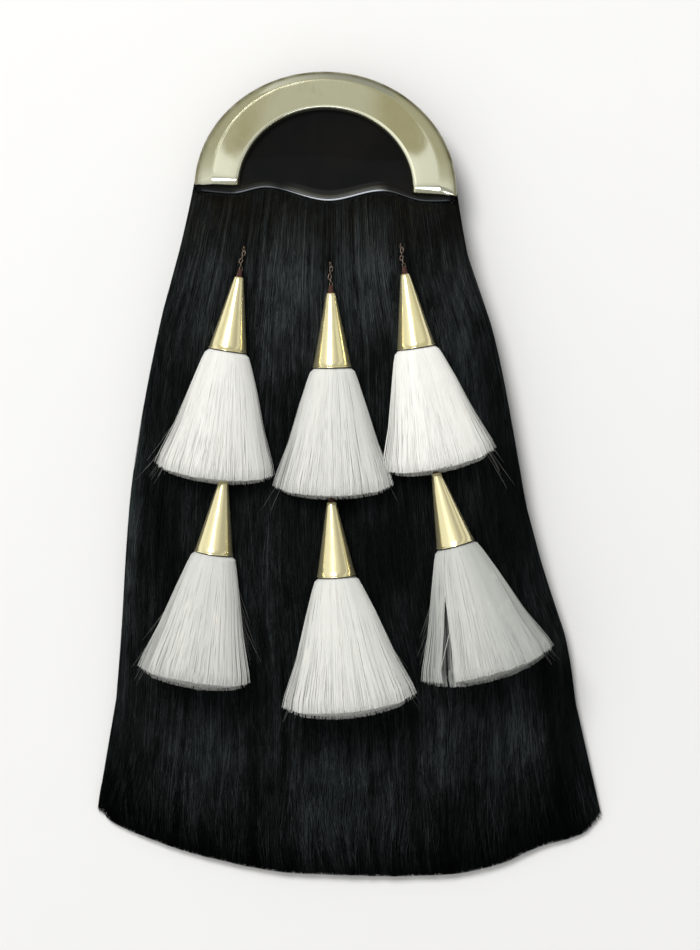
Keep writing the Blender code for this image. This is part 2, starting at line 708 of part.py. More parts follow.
def chain_route(placed):
    """A chain's centre line, from the pouch's front out through the hair and down into the cone's tip."""
    tip = placed["tip"]
    axis = (placed["mouth"] - tip).normalized()
    ahead = Vector((axis.x, axis.y)).normalized()
    anchor = Vector((tip.x, tip.y)) - ahead * CHAIN_LENGTH

    def over_hair(along):
        place = anchor + ahead * along
        return Vector((place.x, place.y, hair_front(place.x, place.y) + 2 * CHAIN_CLEARANCE + CHAIN_RADIUS))

    surface = hair_front(anchor.x, anchor.y)
    bottom = POUCH_FRONT_Z + GAP
    points = [
        Vector((anchor.x, anchor.y, bottom)),
        Vector((anchor.x, anchor.y, (bottom + surface) / 2)),
        Vector((*(anchor + ahead * CHAIN_BEND), surface)),
        *[over_hair(CHAIN_LENGTH * share) for share in CHAIN_ON_HAIR],
        tip - axis * CHAIN_BEND,
        tip + axis * CHAIN_IN_TIP,
    ]
    return smooth_route(points, CHAIN_POINTS)


def frame_from(place, ahead):
    """A matrix that puts -Y along a direction, with +Z as near to up as it can be."""
    back = -ahead.normalized()
    side = back.cross(Vector((0, 0, 1))).normalized()
    up = side.cross(back)
    turn = Matrix((side, back, up)).transposed().to_4x4()
    return Matrix.Translation(place) @ turn


def make_cone(placed, materials, root):
    slope = (CONE_MOUTH_RADIUS - CONE_TIP_RADIUS) / CONE_LENGTH
    inner_tip = CONE_TIP_RADIUS - CONE_WALL
    profile = [
        (inner_tip, 0.0),
        (CONE_TIP_RADIUS - CONE_LIP_ROLL, 0.0),
        (CONE_TIP_RADIUS, CONE_LIP_ROLL),
        (CONE_MOUTH_RADIUS - slope * CONE_LIP, CONE_LENGTH - CONE_LIP),
        (CONE_MOUTH_RADIUS + CONE_LIP_ROLL, CONE_LENGTH - CONE_LIP_ROLL),
        (CONE_MOUTH_RADIUS, CONE_LENGTH),
        (CONE_MOUTH_RADIUS - CONE_WALL, CONE_LENGTH),
    ]
    cone = add_object("cone_" + placed["name"], turned(profile, CONE_SIDES), materials["brass"], root, 50.0)
    cone.matrix_local = frame_from(placed["tip"], placed["mouth"] - placed["tip"])


def make_tuft(placed, materials, root):
    """A tuft's outer form: a neck glued in the cone's mouth, and a flattened fan of hair below it."""
    cone_axis = (placed["mouth"] - placed["tip"]).normalized()
    neck_frame = frame_from(placed["mouth"], cone_axis)
    end = placed["mouth"] + Vector((*(placed["tuft_ahead"] * placed["long"]), 0.0))
    end.z = placed["end_z"]
    fan_frame = frame_from(placed["mouth"], end - placed["mouth"])
    length = (end - placed["mouth"]).length
    behind = TUFT_SHOULDER * length / (placed["wide"] - TUFT_SHOULDER)
    turns = [2 * math.pi * n / TUFT_SIDES for n in range(TUFT_SIDES)]
    rings = []
    slope = (CONE_MOUTH_RADIUS - CONE_TIP_RADIUS) / CONE_LENGTH
    for depth in (TUFT_NECK_DEPTH, 0.0):
        radius = CONE_MOUTH_RADIUS - CONE_WALL - TUFT_NECK_ROOM - slope * depth
        ring = [Vector((radius * math.cos(a), depth, radius * math.sin(a))) for a in turns]
        rings.append([neck_frame @ point for point in ring])
    for row in TUFT_RINGS:
        wide = TUFT_SHOULDER + (placed["wide"] - TUFT_SHOULDER) * row["spread"]
        thick = TUFT_HALF_THICKNESS * row["thick"]
        reach = behind + length * row["share"]
        frame = neck_frame.lerp(fan_frame, row["bent"])
        ring = []
        for a in turns:
            fan = math.asin(min(0.9, wide / reach)) * math.cos(a)
            level = length * row["share"]
            along = level + (reach * math.cos(fan) - behind - level) * row["bent"]
            ring.append(frame @ Vector((reach * math.sin(fan), -along, thick * math.sin(a))))
        rings.append(ring)
    add_object("tuft_" + placed["name"], loft(rings), materials["white_hair"], root, 50.0)


def make_tassels(materials, root):
    """Places the lower tassels first, because the upper tufts lie over the lower chains and cone tips."""
    below = []
    routes = {}
    for tassel in TASSELS:
        placed = place_tassel(tassel, below)
        route = chain_route(placed)
        name = "chain_" + placed["name"]
        add_tube(name, route, CHAIN_RADIUS, materials["chain"], root)
        routes[name] = route
        make_cone(placed, materials, root)
        make_tuft(placed, materials, root)
        if placed["name"].startswith("lower"):
            below += [(point, CHAIN_RADIUS) for point in route[CHAIN_POINTS // 2 :]]
            for n in range(COVERED_CONE_STEPS + 1):
                share = COVERED_CONE * n / COVERED_CONE_STEPS
                radius = CONE_TIP_RADIUS + (CONE_MOUTH_RADIUS - CONE_TIP_RADIUS) * share
                below.append((placed["tip"].lerp(placed["mouth"], share), radius))
    return routes


def main():
    clear_scene()
    materials = make_materials()
    root = bpy.data.objects.new("sporran", None)
    bpy.context.scene.collection.objects.link(root)
    root.location = (0.0, -BELLY_CENTRE_Y, 0.0)
    make_cantle(materials, root)
    make_pouch(materials, root)
    make_rear_flap(materials, root)
    make_strap_loops(materials, root)
    make_panel(materials, root)
    routes = make_tassels(materials, root)
    make_hair_skirt(materials, root, routes)


main()
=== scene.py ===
"""The looks of a long horsehair sporran that lies on its back on a pale floor.

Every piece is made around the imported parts, in their own frame, in metres. The front faces +Z and the crown
of the cantle points to +Y. The tables of the pouch, the hem, the hair and the tassels measure Y from the line
on which the cantle's two legs end.
"""

import bisect
import math
import random

import bmesh
import bpy
from bpy.props import FloatProperty, FloatVectorProperty, IntProperty, PointerProperty
from mathutils import Matrix, Vector, noise


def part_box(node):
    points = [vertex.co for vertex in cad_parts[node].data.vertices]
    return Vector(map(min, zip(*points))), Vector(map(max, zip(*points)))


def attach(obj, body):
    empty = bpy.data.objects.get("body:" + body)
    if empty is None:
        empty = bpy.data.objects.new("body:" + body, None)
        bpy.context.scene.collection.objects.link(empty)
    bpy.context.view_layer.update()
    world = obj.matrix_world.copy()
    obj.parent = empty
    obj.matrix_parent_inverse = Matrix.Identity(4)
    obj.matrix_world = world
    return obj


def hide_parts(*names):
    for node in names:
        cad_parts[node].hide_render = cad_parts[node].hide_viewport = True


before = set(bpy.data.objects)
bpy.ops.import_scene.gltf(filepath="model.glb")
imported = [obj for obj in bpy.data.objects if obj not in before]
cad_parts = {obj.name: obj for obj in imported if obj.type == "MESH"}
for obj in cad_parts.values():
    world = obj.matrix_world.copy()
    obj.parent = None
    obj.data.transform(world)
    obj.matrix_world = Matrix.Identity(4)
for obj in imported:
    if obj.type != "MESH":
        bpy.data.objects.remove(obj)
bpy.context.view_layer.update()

bl_info = {
    "name": "Horsehair Sporran",
    "version": (1, 0, 0),
    "blender": (4, 5, 0),
    "location": "View3D > Sidebar > Sporran",
    "description": "Builds a horsehair sporran with a pressed brass cantle and white tassels",
    "category": "Add Mesh",
}


def rows(keys, *values):
    """A table's rows, each of which gives a value for every key."""
    return tuple(dict(zip(keys.split(), row)) for row in values)


BODY = "root"
LEG_LINE_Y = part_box("cantle")[0].y
MERGE = 0.000002
UP = Vector((0.0, 0.0, 1.0))

# Cantle: the plan of its half ring, then its section as a wall, a bevel by share of its width, a face and an
# inner edge. Its last column is painted shade: how far each place is darkened towards the stain colour, as a
# painted dark reflection and shadow along the wall, the bevel and both edges.
CANTLE_OUTER = (0.0775, 0.0700)
CANTLE_INNER = (0.0507, 0.0470)
CANTLE_FOOT_Z = 0.0278
CANTLE_STATIONS = 150
CANTLE_ROUNDING = 0.00045
CANTLE_WALL = rows(
    "inset z dull",
    (0.00140, 0.0278, 1.0),
    (0.00140, 0.0206, 1.0),
    (0.00110, 0.0205, 1.0),
    (0.00020, 0.0205, 1.0),
    (0.00000, 0.0208, 0.8),
    (0.00000, 0.0245, 0.5),
    (0.00000, 0.0284, 0.7),
    (0.00022, 0.0293, 1.0),
    (0.00070, 0.0301, 1.0),
    (0.00130, 0.0306, 1.0),
)
CANTLE_BEVEL = rows(
    "share z dull",
    (0.12, 0.03095, 0.45),
    (0.35, 0.03158, 0.12),
    (0.62, 0.03240, 0.05),
    (0.88, 0.03318, 0.05),
    (0.96, 0.03340, 0.0),
    (1.00, 0.03346, 0.0),
)
CANTLE_FACE = rows(
    "share z dull",
    (0.10, 0.03350, 0.0),
    (0.35, 0.03353, 0.0),
    (0.65, 0.03353, 0.0),
    (0.92, 0.03352, 0.0),
)
CANTLE_EDGE = rows(
    "inset z dull",
    (0.00230, 0.03346, 0.0),
    (0.00195, 0.03326, 0.0),
    (0.00145, 0.0328, 0.0),
    (0.00095, 0.0321, 0.0),
    (0.00050, 0.0313, 0.1),
    (0.00018, 0.0304, 0.3),
    (0.00000, 0.0294, 0.6),
    (0.00000, 0.0279, 1.0),
    (0.00010, 0.0278, 1.0),
)
BEVEL_AT_CROWN = 0.0050
BEVEL_AT_LEG = 0.0108
BEVEL_EASE = 0.8
LEG_END = rows(
    "from_end height",
    (0.0000, 0.32),
    (0.0005, 0.44),
    (0.0012, 0.53),
    (0.0023, 0.635),
    (0.0036, 0.745),
    (0.0050, 0.850),
    (0.0066, 0.930),
    (0.0090, 0.980),
    (0.0125, 0.996),
    (0.0190, 1.000),
)

# Patent leather front: its arch, its flat face and the rolled lip along the hem
PANEL_ARCH = (0.0757, 0.0682)
PANEL_FACE_Z = 0.0275
PANEL_UNDER_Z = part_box("patent_panel")[0].z
PANEL_END_ROUNDING = 0.0020
PANEL_END_DROP = 0.0008
LIP_OVERHANG = 0.0008
PANEL_SWELL = 0.00010
PANEL_LEAST_FACE = 0.0005
PANEL_COLUMNS = 140
PANEL_ROWS = 36
HEM = rows(
    "x y",
    (-0.0770, -0.0040),
    (-0.0560, -0.0050),
    (-0.0345, -0.0004),
    (0.0010, -0.0067),
    (0.0345, 0.0004),
    (0.0590, -0.0046),
    (0.0770, -0.0036),
)
HEM_LIP = rows(
    "from_hem rise",
    (0.00000, -0.00150),
    (0.00005, -0.00090),
    (0.00015, -0.00035),
    (0.00030, -0.00002),
    (0.00050, 0.00018),
    (0.00080, 0.00034),
    (0.00125, 0.00055),
    (0.00170, 0.00076),
    (0.00200, 0.00086),
    (0.00230, 0.00089),
    (0.00260, 0.00082),
    (0.00295, 0.00060),
    (0.00330, 0.00032),
    (0.00365, 0.00010),
    (0.00400, 0.00000),
)

# How glossy the lip is along the hem. Above it, the panel's own gloss takes over.
GLOSS = rows(
    "x gloss",
    (-0.0750, 0.00),
    (-0.0700, 0.08),
    (-0.0560, 0.08),
    (-0.0500, 0.28),
    (-0.0340, 0.28),
    (-0.0270, 0.14),
    (-0.0150, 1.00),
    (0.0290, 1.00),
    (0.0380, 0.12),
    (0.0700, 0.08),
    (0.0750, 0.00),
)
PANEL_GLOSS = 0.03
PANEL_GLOSS_FROM = (0.0030, 0.0045)

# Leather pouch and what is sewn to its back
LEATHER_WALL = 0.0025
POUCH_FRONT_Z = 0.0250
POUCH_ARCH = (0.0756, 0.0681)
POUCH_HALF_WIDTH = 0.0720
POUCH_WAIST_Y = -0.0220
POUCH_END_Y = -0.2350
POUCH_CORNER = 0.0340
ARCH_STEPS = 72
CORNER_STEPS = 16
BACK_STEP_Z = 0.0100
BACK_STEP_TOP_Y = -0.0300
BACK_STEP_END_Y = -0.0850
BACK_STEP_CUTS = 14
MOUTH = ((-0.0440, -0.0100), (0.0440, 0.0000))
CUTTER_REACH = 0.0040
FLAP_TOP_Y = 0.0080
FLAP_END_Y = -0.0300
FLAP_HALF_WIDTH = 0.0520
FLAP_CORNER = 0.0140
FLAP_ROUNDING = 0.0006
FLAP_SEAM_INSET = 0.0032
FLAP_LOW_Z = 0.0077
FLAP_HIGH_Z = 0.0097
STUD_Y = -0.0210
STUD_RADIUS = 0.0055
STUD_HEIGHT = 0.0016
STUD_RIM = ((0.72, 0.0), (0.96, 0.0), (1.0, 0.12), (1.0, 0.36), (0.96, 0.52), (0.85, 0.60))
STUD_FACE = ((0.80, 0.60), (0.76, 0.70), (0.62, 0.86), (0.40, 0.96), (0.18, 1.0), (0.0, 1.0))
SEWN_GAP = 0.0003
STITCH_SECTION = (0.00034, 0.00030)
STITCH_TILT = 9.0
THREAD_RISE = 0.00004
POUCH_SEAM_INSET = 0.0072
MOUTH_SEAM = ((-0.0475, -0.0135), (0.0475, -0.0135))
LOOP_SEAM_END = 0.001
LOOP_X = 0.0380
LOOP_WIDTH = 0.0140
LOOP_STRAP_WIDTH = 0.0260
LOOP_STRAP_ROOM = 0.0055
LOOP_THICKNESS = 0.0020
LOOP_FOOT = 0.0055
LOOP_FOLD = 0.0006
LOOP_ROUNDING = 0.0005
LOOP_CENTRE_Y = 0.0310
POUCH_RINGS = rows(
    "inset z",
    (0.0034, 0.0250),
    (0.0018, 0.0247),
    (0.0008, 0.0240),
    (0.0001, 0.0228),
    (0.0000, 0.0212),
    (0.0000, 0.0120),
    (0.0000, 0.0050),
    (0.0003, 0.0030),
    (0.0012, 0.0012),
    (0.0026, 0.0003),
    (0.0044, 0.0000),
)

# Hair skirt, from the hem down by share of its length
HAIR_ROWS = rows(
    "share left right crest rim square",
    (0.00, -0.0795, 0.0795, 0.0284, 0.0120, 9.0),
    (0.04, -0.0814, 0.0822, 0.0325, 0.0110, 6.5),
    (0.10, -0.0855, 0.0871, 0.0358, 0.0100, 5.0),
    (0.20, -0.0940, 0.1022, 0.0376, 0.0090, 4.2),
    (0.40, -0.1050, 0.1202, 0.0382, 0.0076, 4.0),
    (0.50, -0.1083, 0.1278, 0.0380, 0.0070, 3.8),
    (0.60, -0.1095, 0.1384, 0.0366, 0.0064, 3.4),
    (0.70, -0.1101, 0.1540, 0.0322, 0.0058, 2.9),
    (0.80, -0.1112, 0.1616, 0.0270, 0.0052, 2.5),
    (0.90, -0.1133, 0.1668, 0.0212, 0.0046, 2.3),
    (0.96, -0.1158, 0.1722, 0.0170, 0.0042, 2.2),
    (1.00, -0.1166, 0.1786, 0.0120, 0.0036, 2.2),
)
HAIR_END = rows(
    "across y",
    (0.00, -0.3740),
    (0.03, -0.3812),
    (0.10, -0.3896),
    (0.20, -0.3980),
    (0.40, -0.4062),
    (0.55, -0.4058),
    (0.70, -0.4030),
    (0.80, -0.3960),
    (0.88, -0.3845),
    (0.96, -0.3760),
    (1.00, -0.3660),
)
HEM_ROOM = 0.0007
ROOT_DRAW = 0.0011
CORNER_FLARE = 0.0036
BED_COLUMNS = 96
BED_ROWS = 90
BED_INSET = 0.0008
BED_DEPTH = 0.0017
BED_UNDER_LIP = 0.0016
BED_END_THIN = 0.72
BED_THIN_FROM = 0.925
BED_THIN_PAST = 0.012
BED_END_SHARE = 0.9970
BED_UNDER_Z = 0.0007
POUCH_ROOM = 0.0004
SEARCH_STEPS = 12
LONG_HAIR_SHARES = (0.0, 0.018, 0.05, 0.11, 0.22, 0.40, 0.53, 0.62, 0.72, 0.86, 1.0)
EDGE_HAIR_RINGS = 8
SHORT_HAIR_RINGS = 10
TIP_HAIR_RINGS = 4
BACK_SEARCH_STEPS = 60
BACK_ROOM = 0.0020
BACK_SIDE_ROOM = 0.004
LOCKS_ACROSS = 52
LOCK_SIZES = rows(
    "across along draw depth",
    (9.0, 2.2, 4.0, 0.00045),
    (34.0, 4.4, 9.0, 0.00065),
    (105.0, 10.0, 17.0, 0.00035),
)
PARTING_DEPTH = 0.0013
PARTING_PUSH = 0.55
CORNER_CUT_REACH = 0.036
CORNER_CUTS = (0.011, 0.013)

# How single hairs lie, in shares of the skirt's width or length, and in metres where it is up or down
HAIR_DRIFT = 0.0055
HAIR_GATHER = 0.30
HAIR_SIDE_ROOM = 0.0012
HAIR_END_SINK = 0.55
HAIR_FLOOR = 0.00022
SLEEK_SWING = 0.0011
SLEEK_TURNS = 9.0
WAVY_LEAN = 0.130
WAVY_SWING = (0.0012, 0.0046)
WAVY_TURNS = (38.0, 62.0)
WANDERS = rows(
    "reach across along draw from to",
    (0.0170, 11.0, 3.4, 6.0, 0.02, 0.35),
    (0.0120, 28.0, 10.5, 8.0, 0.06, 0.40),
)
HAIR_ROOT_SINK = 0.0013
LONG_HAIR_DEPTH = (0.00034, 0.0008)
SHORT_HAIR_START = (-0.04, 0.90)
SHORT_HAIR_LENGTH = (0.13, 0.32)
SHORT_HAIR_DEPTH = (0.00010, 0.00036)
TIP_HAIR_START = (0.86, 0.93)
EDGE_ROOT_X = (0.0766, 0.0780)
EDGE_ROOT_UP = 0.0022
EDGE_ROOT_Z = (0.004, 0.0195)
TRIM_SHARE = 0.9994
TRIM_BY_LOCK = 0.0010
TRIM_UNEVEN = 0.0009
TRIM_LEAST = 0.004

# Partings, where two locks lie apart: place across, from and to which share of the length, and their width
PARTINGS = rows(
    "across from to wide",
    (0.080, 0.30, 0.62, 0.010),
    (0.150, 0.55, 1.10, 0.009),
    (0.228, 0.02, 0.26, 0.009),
    (0.310, 0.66, 1.10, 0.010),
    (0.373, 0.62, 0.95, 0.008),
    (0.430, 0.30, 0.60, 0.009),
    (0.520, 0.03, 0.24, 0.008),
    (0.560, 0.74, 1.10, 0.007),
    (0.652, 0.66, 1.10, 0.011),
    (0.700, 0.22, 0.52, 0.008),
    (0.795, 0.02, 0.30, 0.009),
    (0.845, 0.60, 1.00, 0.009),
    (0.945, 0.45, 1.10, 0.008),
)

# Where the black hair shines or lies in shade: the middle, half width, half length, and lift of each place
SHEEN = rows(
    "x y wide long lift",
    (-0.018, -0.062, 0.017, 0.032, 1.30),
    (0.027, -0.054, 0.012, 0.028, 1.15),
    (0.080, -0.068, 0.013, 0.030, 0.80),
    (-0.067, -0.062, 0.013, 0.034, 0.55),
    (-0.106, -0.200, 0.004, 0.040, 0.70),
    (-0.023, -0.232, 0.010, 0.046, 0.28),
    (-0.062, -0.338, 0.028, 0.034, 0.60),
    (0.026, -0.368, 0.034, 0.036, 0.70),
    (0.082, -0.318, 0.014, 0.032, 0.80),
    (0.124, -0.318, 0.012, 0.032, 0.95),
    (0.044, -0.205, 0.022, 0.042, -0.17),
    (0.114, -0.212, 0.028, 0.062, -0.19),
    (-0.086, -0.206, 0.018, 0.046, -0.17),
    (0.150, -0.352, 0.014, 0.040, -0.10),
    (-0.020, -0.150, 0.016, 0.030, -0.20),
)
PLAIN_SHEEN = 0.235
UNEVEN_SHEEN = 0.24
LEAST_SHEEN = 0.03

# Tassels: plan place of each cone's tip, leans in degrees towards +X, tuft length and half width,
# whiteness, and how much greyer its right side is, as painted shade on the side away from the key lamp
TASSELS = rows(
    "name x y cone tuft long wide white greyer",
    ("lower_left", -0.0521, -0.1735, -5.4, -6.4, 0.0782, 0.0308, 0.43, 0.08),
    ("lower_middle", 0.0116, -0.1838, 6.3, 8.6, 0.0816, 0.0372, 0.56, 0.10),
    ("lower_right", 0.0721, -0.1640, 17.9, 17.3, 0.0808, 0.0372, 0.27, 0.24),
    ("upper_left", -0.0484, -0.0541, -6.3, -3.4, 0.0775, 0.0328, 0.70, 0.05),
    ("upper_middle", 0.0059, -0.0612, 3.7, 3.1, 0.0767, 0.0330, 0.56, 0.06),
    ("upper_right", 0.0489, -0.0481, 11.3, 13.9, 0.0738, 0.0317, 0.80, 0.06),
)
TUFT_SHOULDER = 0.0138
TUFT_HALF_THICKNESS = 0.0118
TUFT_RINGS = rows(
    "share spread thick bent",
    (0.000, -0.19, 0.86, 0.00),
    (0.006, -0.13, 0.91, 0.00),
    (0.022, -0.05, 0.97, 0.00),
    (0.045, -0.01, 1.00, 0.12),
    (0.100, 0.055, 1.00, 0.50),
    (0.300, 0.27, 1.02, 1.00),
    (0.650, 0.63, 1.04, 1.00),
    (0.930, 0.97, 1.00, 1.00),
    (0.975, 1.00, 0.94, 1.00),
    (1.000, 1.00, 0.84, 1.00),
)
TUFT_CORE_INSET = 0.0008
TUFT_CORE_SHARES = (0.0, 0.012, 0.03, 0.06, 0.1, 0.18, 0.3, 0.45, 0.6, 0.75, 0.85, 0.92, 0.955)
TUFT_CORE_END = ((0.972, 0.985), (0.978, 0.94), (0.980, 0.80), (0.981, 0.45))
TUFT_SPLIT = {"tassel": "lower_right", "side": -0.66, "from": 0.22, "wide": 0.13, "gap": 0.10}
TUFT_HAIR_SHARES = (0.004, 0.03, 0.10, 0.32, 0.64, 0.92, 1.0)
TUFT_LOCKS = 30
TUFT_GATHER = 0.20
TUFT_SWAY = 0.014
TUFT_SURFACE = 0.00012
TUFT_ROOT_DEPTH = 0.0030
TUFT_ROOT_SHARE = 0.86
TUFT_LOCK_GREY = 0.42
# Greyer at both edges: partly painted shade where the tuft rounds away, partly thin hairs over black ones
TUFT_SIDE_GREY = 0.14
TUFT_END = (0.993, 1.001)
TUFT_END_UNEVEN = 0.0055
TUFT_END_LEAST = 0.016
TUFT_END_ROUNDING = 0.034
TUFT_CORE_SIDES = 40
TUFT_CORE_RIPPLE = 0.016
STRAY_RINGS = 6
STRAY_RISE = 0.00040

# Cones and chains
CONE_LENGTH = 0.0440
CONE_TIP_RADIUS = 0.0027
CONE_MOUTH_RADIUS = 0.0114
CONE_WALL = 0.0008
CONE_SIDES = 72
CONE_ROLL_FROM = 0.0012
CONE_ROLL = ((0.00012, 0.0009), (0.00020, 0.0006), (0.00006, 0.0002), (-0.00030, 0.0))
# How far in from a cone's mouth its painted shadow ring reaches
CONE_DARK_MOUTH = 0.00045
CHAIN_LENGTH = 0.0185
CHAIN_WAY = rows(
    "along rise sway",
    (0.0, -0.0042, 0.0),
    (0.0006, -0.0004, 0.0),
    (0.0040, 0.00160, 0.0005),
    (0.0090, 0.00176, -0.0005),
    (0.0135, 0.00160, 0.0003),
)
LINK_WIRE = 0.00030
LINK_RADIUS = 0.00088
LINK_STRETCH = 0.00062
KNOT_TURNS = 7
KNOT_WIRE = 0.00046
KNOT_RADII = (0.00150, 0.00070)

# Loose white hairs that splay out at a tuft's side: where they leave it, how far they turn, how long they are
STRAYS = rows(
    "tassel side count share turn long",
    ("upper_left", -1, 7, 0.42, 20.0, 0.048),
    ("upper_left", -1, 16, 0.62, 9.0, 0.036),
    ("upper_left", 1, 5, 0.60, 9.0, 0.026),
    ("upper_middle", -1, 12, 0.58, 13.0, 0.034),
    ("upper_middle", 1, 6, 0.66, 8.0, 0.024),
    ("upper_right", 1, 16, 0.50, 10.0, 0.040),
    ("lower_left", -1, 20, 0.40, 13.0, 0.046),
    ("lower_left", 1, 14, 0.22, 16.0, 0.048),
    ("lower_middle", -1, 10, 0.50, 8.0, 0.036),
    ("lower_middle", 1, 18, 0.46, 12.0, 0.044),
    ("lower_right", -1, 24, 0.30, 10.0, 0.048),
    ("lower_right", 1, 18, 0.44, 10.0, 0.046),
)

# Camera and studio
PICTURE_CENTRE = (0.0218, -0.0174)
PICTURE_TURN = math.radians(2.5)
PICTURE_HEIGHT = 0.5605
CAMERA_Z = 2.62
OBJECT_Z = 0.0300
SENSOR = 0.036
FLOOR_Z = -0.0004
KEY_LAMP, HEM_LAMP = rows(
    "place target size colour",
    ((-1.19, 1.80, 3.43), (0, 0, 0), (1.7, 1.7), (1.0, 0.99, 0.965)),
    ((0.20, -1.7, 1.6), (0.02, 0.14, 0.03), (1.7, 0.55), (0.86, 0.93, 1.0)),
)
CROWN_CARD = ((-0.0680, 0.0190), (0.0625, 0.1040))
CROWN_CARD_CORNER = 0.016
CROWN_CARD_PIVOT = (0.0, 0.03, 0.0)
CROWN_CARD_GAP = 0.001
CARD_Z = 0.150
OUTER_CARD = (0.082, 0.420)
MIRROR_Z = 0.0335
DOME_BY_HEIGHT = ((0.0, 0.30), (0.50, 0.46), (0.80, 0.48), (0.90, 0.52), (0.96, 0.84), (1.0, 0.97))
DOME_BY_SIDE = ((0.0, 0.95), (0.25, 0.90), (0.40, 0.62), (0.52, 0.42), (0.70, 0.40), (1.0, 0.42))


# Sizes and colours that a user may change


def colour_property(name, description, default):
    return FloatVectorProperty(name=name, description=description, subtype="COLOR", default=default)


def length_property(name, description, default):
    return FloatProperty(name=name, description=description, default=default, unit="LENGTH")


def count_property(name, description, default, least):
    return IntProperty(name=name, description=description, default=default, min=least)


class SporranMetal(bpy.types.PropertyGroup):
    brass: colour_property("Brass", "Colour of the polished brass", (0.77, 0.765, 0.59))
    cone: colour_property("Cone brass", "Colour of the yellower cones", (0.88, 0.80, 0.48))
    # Its colour is also that of the painted shade on the cantle's wall, bevel and edges and in the cones'
    # mouths
    tarnish_and_shade: colour_property("Tarnish", "Colour of the dulled brass", (0.12, 0.105, 0.050))
    dark_iron: colour_property("Chain", "Colour of the aged chain", (0.20, 0.155, 0.125))
    knot: colour_property("Knot", "Colour of the thread knot at a cone", (0.050, 0.020, 0.013))


class SporranLeather(bpy.types.PropertyGroup):
    patent: colour_property("Patent", "Colour of the lacquered front", (0.0040, 0.0042, 0.0046))
    hide: colour_property("Hide", "Colour of the plain leather", (0.017, 0.015, 0.014))
    thread: colour_property("Thread", "Colour of the stitches", (0.055, 0.050, 0.045))
    stitch_pitch: length_property("Stitch pitch", "From one stitch to the next", 0.0036)
    stitch_length: length_property("Stitch length", "Length of one stitch", 0.0025)


class SporranHair(bpy.types.PropertyGroup):
    black: colour_property("Black hair", "Colour of most of the skirt", (0.0036, 0.0040, 0.0040))
    # lighter is also the colour that the painted sheen lightens the hair to
    lighter: colour_property("Lighter hair", "Colour of its palest hairs", (0.032, 0.038, 0.039))
    brown: colour_property("Brown hair", "Colour near the hem", (0.0190, 0.0175, 0.0130))
    # The colour of the painted blue sheen patches on the black hair
    bluish_sheen: colour_property("Bluish hair", "Colour of its cool patches", (0.020, 0.027, 0.030))
    radius: length_property("Hair radius", "Half a hair's thickness", 0.00017)
    long_count: count_property("Long hairs", "Hairs from the hem to the end", 2900, 300)
    short_count: count_property("Short hairs", "Hairs that start below the hem", 4420, 30)
    edge_count: count_property("Edge hairs", "Hairs on the edges and the back", 1700, 30)
    tip_count: count_property("End hairs", "Hairs that fill the trimmed end", 1900, 30)
    seed: IntProperty(name="Seed", description="Start of the random draws", default=11)


class SporranTassels(bpy.types.PropertyGroup):
    white: colour_property("White hair", "Colour of the whitest hairs", (0.795, 0.790, 0.765))
    # Also the colour that the painted shade on the tufts turns them towards
    grey: colour_property("Grey hair", "Colour of the greyest hairs", (0.33, 0.34, 0.325))
    radius: length_property("Hair radius", "Half a hair's thickness", 0.00021)
    count: count_property("Hairs", "Long hairs in a tassel", 1000, 50)
    end_count: count_property("End hairs", "Short hairs in a tassel's cut end", 560, 20)
    seed: IntProperty(name="Seed", description="Start of the random draws", default=5)


class SporranStudio(bpy.types.PropertyGroup):
    floor: colour_property("Floor", "Colour of the floor", (0.690, 0.690, 0.692))
    dome: FloatProperty(name="Dome", description="Brightness of the white dome", default=2.0)
    key: FloatProperty(name="Key", description="Power of the large soft lamp", default=140.0, unit="POWER")
    hem_lamp: FloatProperty(name="Hem lamp", description="Power of the foot lamp", default=10.0, unit="POWER")


# Reading tables and small sums


class Column:
    """One column of a table, read between its rows on a smooth curve that doesn't overshoot."""

    def __init__(self, rows, key, column):
        self.keys = [row[key] for row in rows]
        self.values = [row[column] for row in rows]
        pairs = range(len(rows) - 1)
        slopes = [(self.values[n + 1] - self.values[n]) / (self.keys[n + 1] - self.keys[n]) for n in pairs]
        self.tangents = [slopes[0]]
        for before, after in zip(slopes, slopes[1:]):
            self.tangents.append(2.0 * before * after / (before + after) if before * after > 0 else 0.0)
        self.tangents.append(slopes[-1])

    def at(self, place):
        if place <= self.keys[0]:
            return self.values[0]
        if place >= self.keys[-1]:
            return self.values[-1]
        i = bisect.bisect_right(self.keys, place) - 1
        span = self.keys[i + 1] - self.keys[i]
        t = (place - self.keys[i]) / span
        return (
            (2 * t**3 - 3 * t**2 + 1) * self.values[i]
            + (t**3 - 2 * t**2 + t) * span * self.tangents[i]
            + (3 * t**2 - 2 * t**3) * self.values[i + 1]
            + (t**3 - t**2) * span * self.tangents[i + 1]
        )


CANTLE_SECTION = CANTLE_WALL + CANTLE_BEVEL + CANTLE_FACE + CANTLE_EDGE
HEM_Y = Column(HEM, "x", "y")
LIP_RISE = Column(HEM_LIP, "from_hem", "rise")
LIP_GLOSS = Column(GLOSS, "x", "gloss")
END_HEIGHT = Column(LEG_END, "from_end", "height")
HAIR = {name: Column(HAIR_ROWS, "share", name) for name in ("left", "right", "crest", "rim", "square")}
HAIR_END_Y = Column(HAIR_END, "across", "y")
TUFT = {name: Column(TUFT_RINGS, "share", name) for name in ("spread", "thick", "bent")}


def mix(low, high, share):
    return low + (high - low) * share


def soft_step(low, high, value):
    t = min(1.0, max(0.0, (value - low) / (high - low)))
    return t * t * (3 - 2 * t)


def times(colour, share):
    return [part * share for part in colour]


# Making meshes and pieces


def raised(outline, z):
    """A plan outline from the leg line, set at a height."""
    return [Vector((p.x, p.y + LEG_LINE_Y, z)) for p in outline]


def tidy_form(bm):
    bmesh.ops.remove_doubles(bm, verts=bm.verts, dist=MERGE)
    bmesh.ops.recalc_face_normals(bm, faces=bm.faces)
    return bm


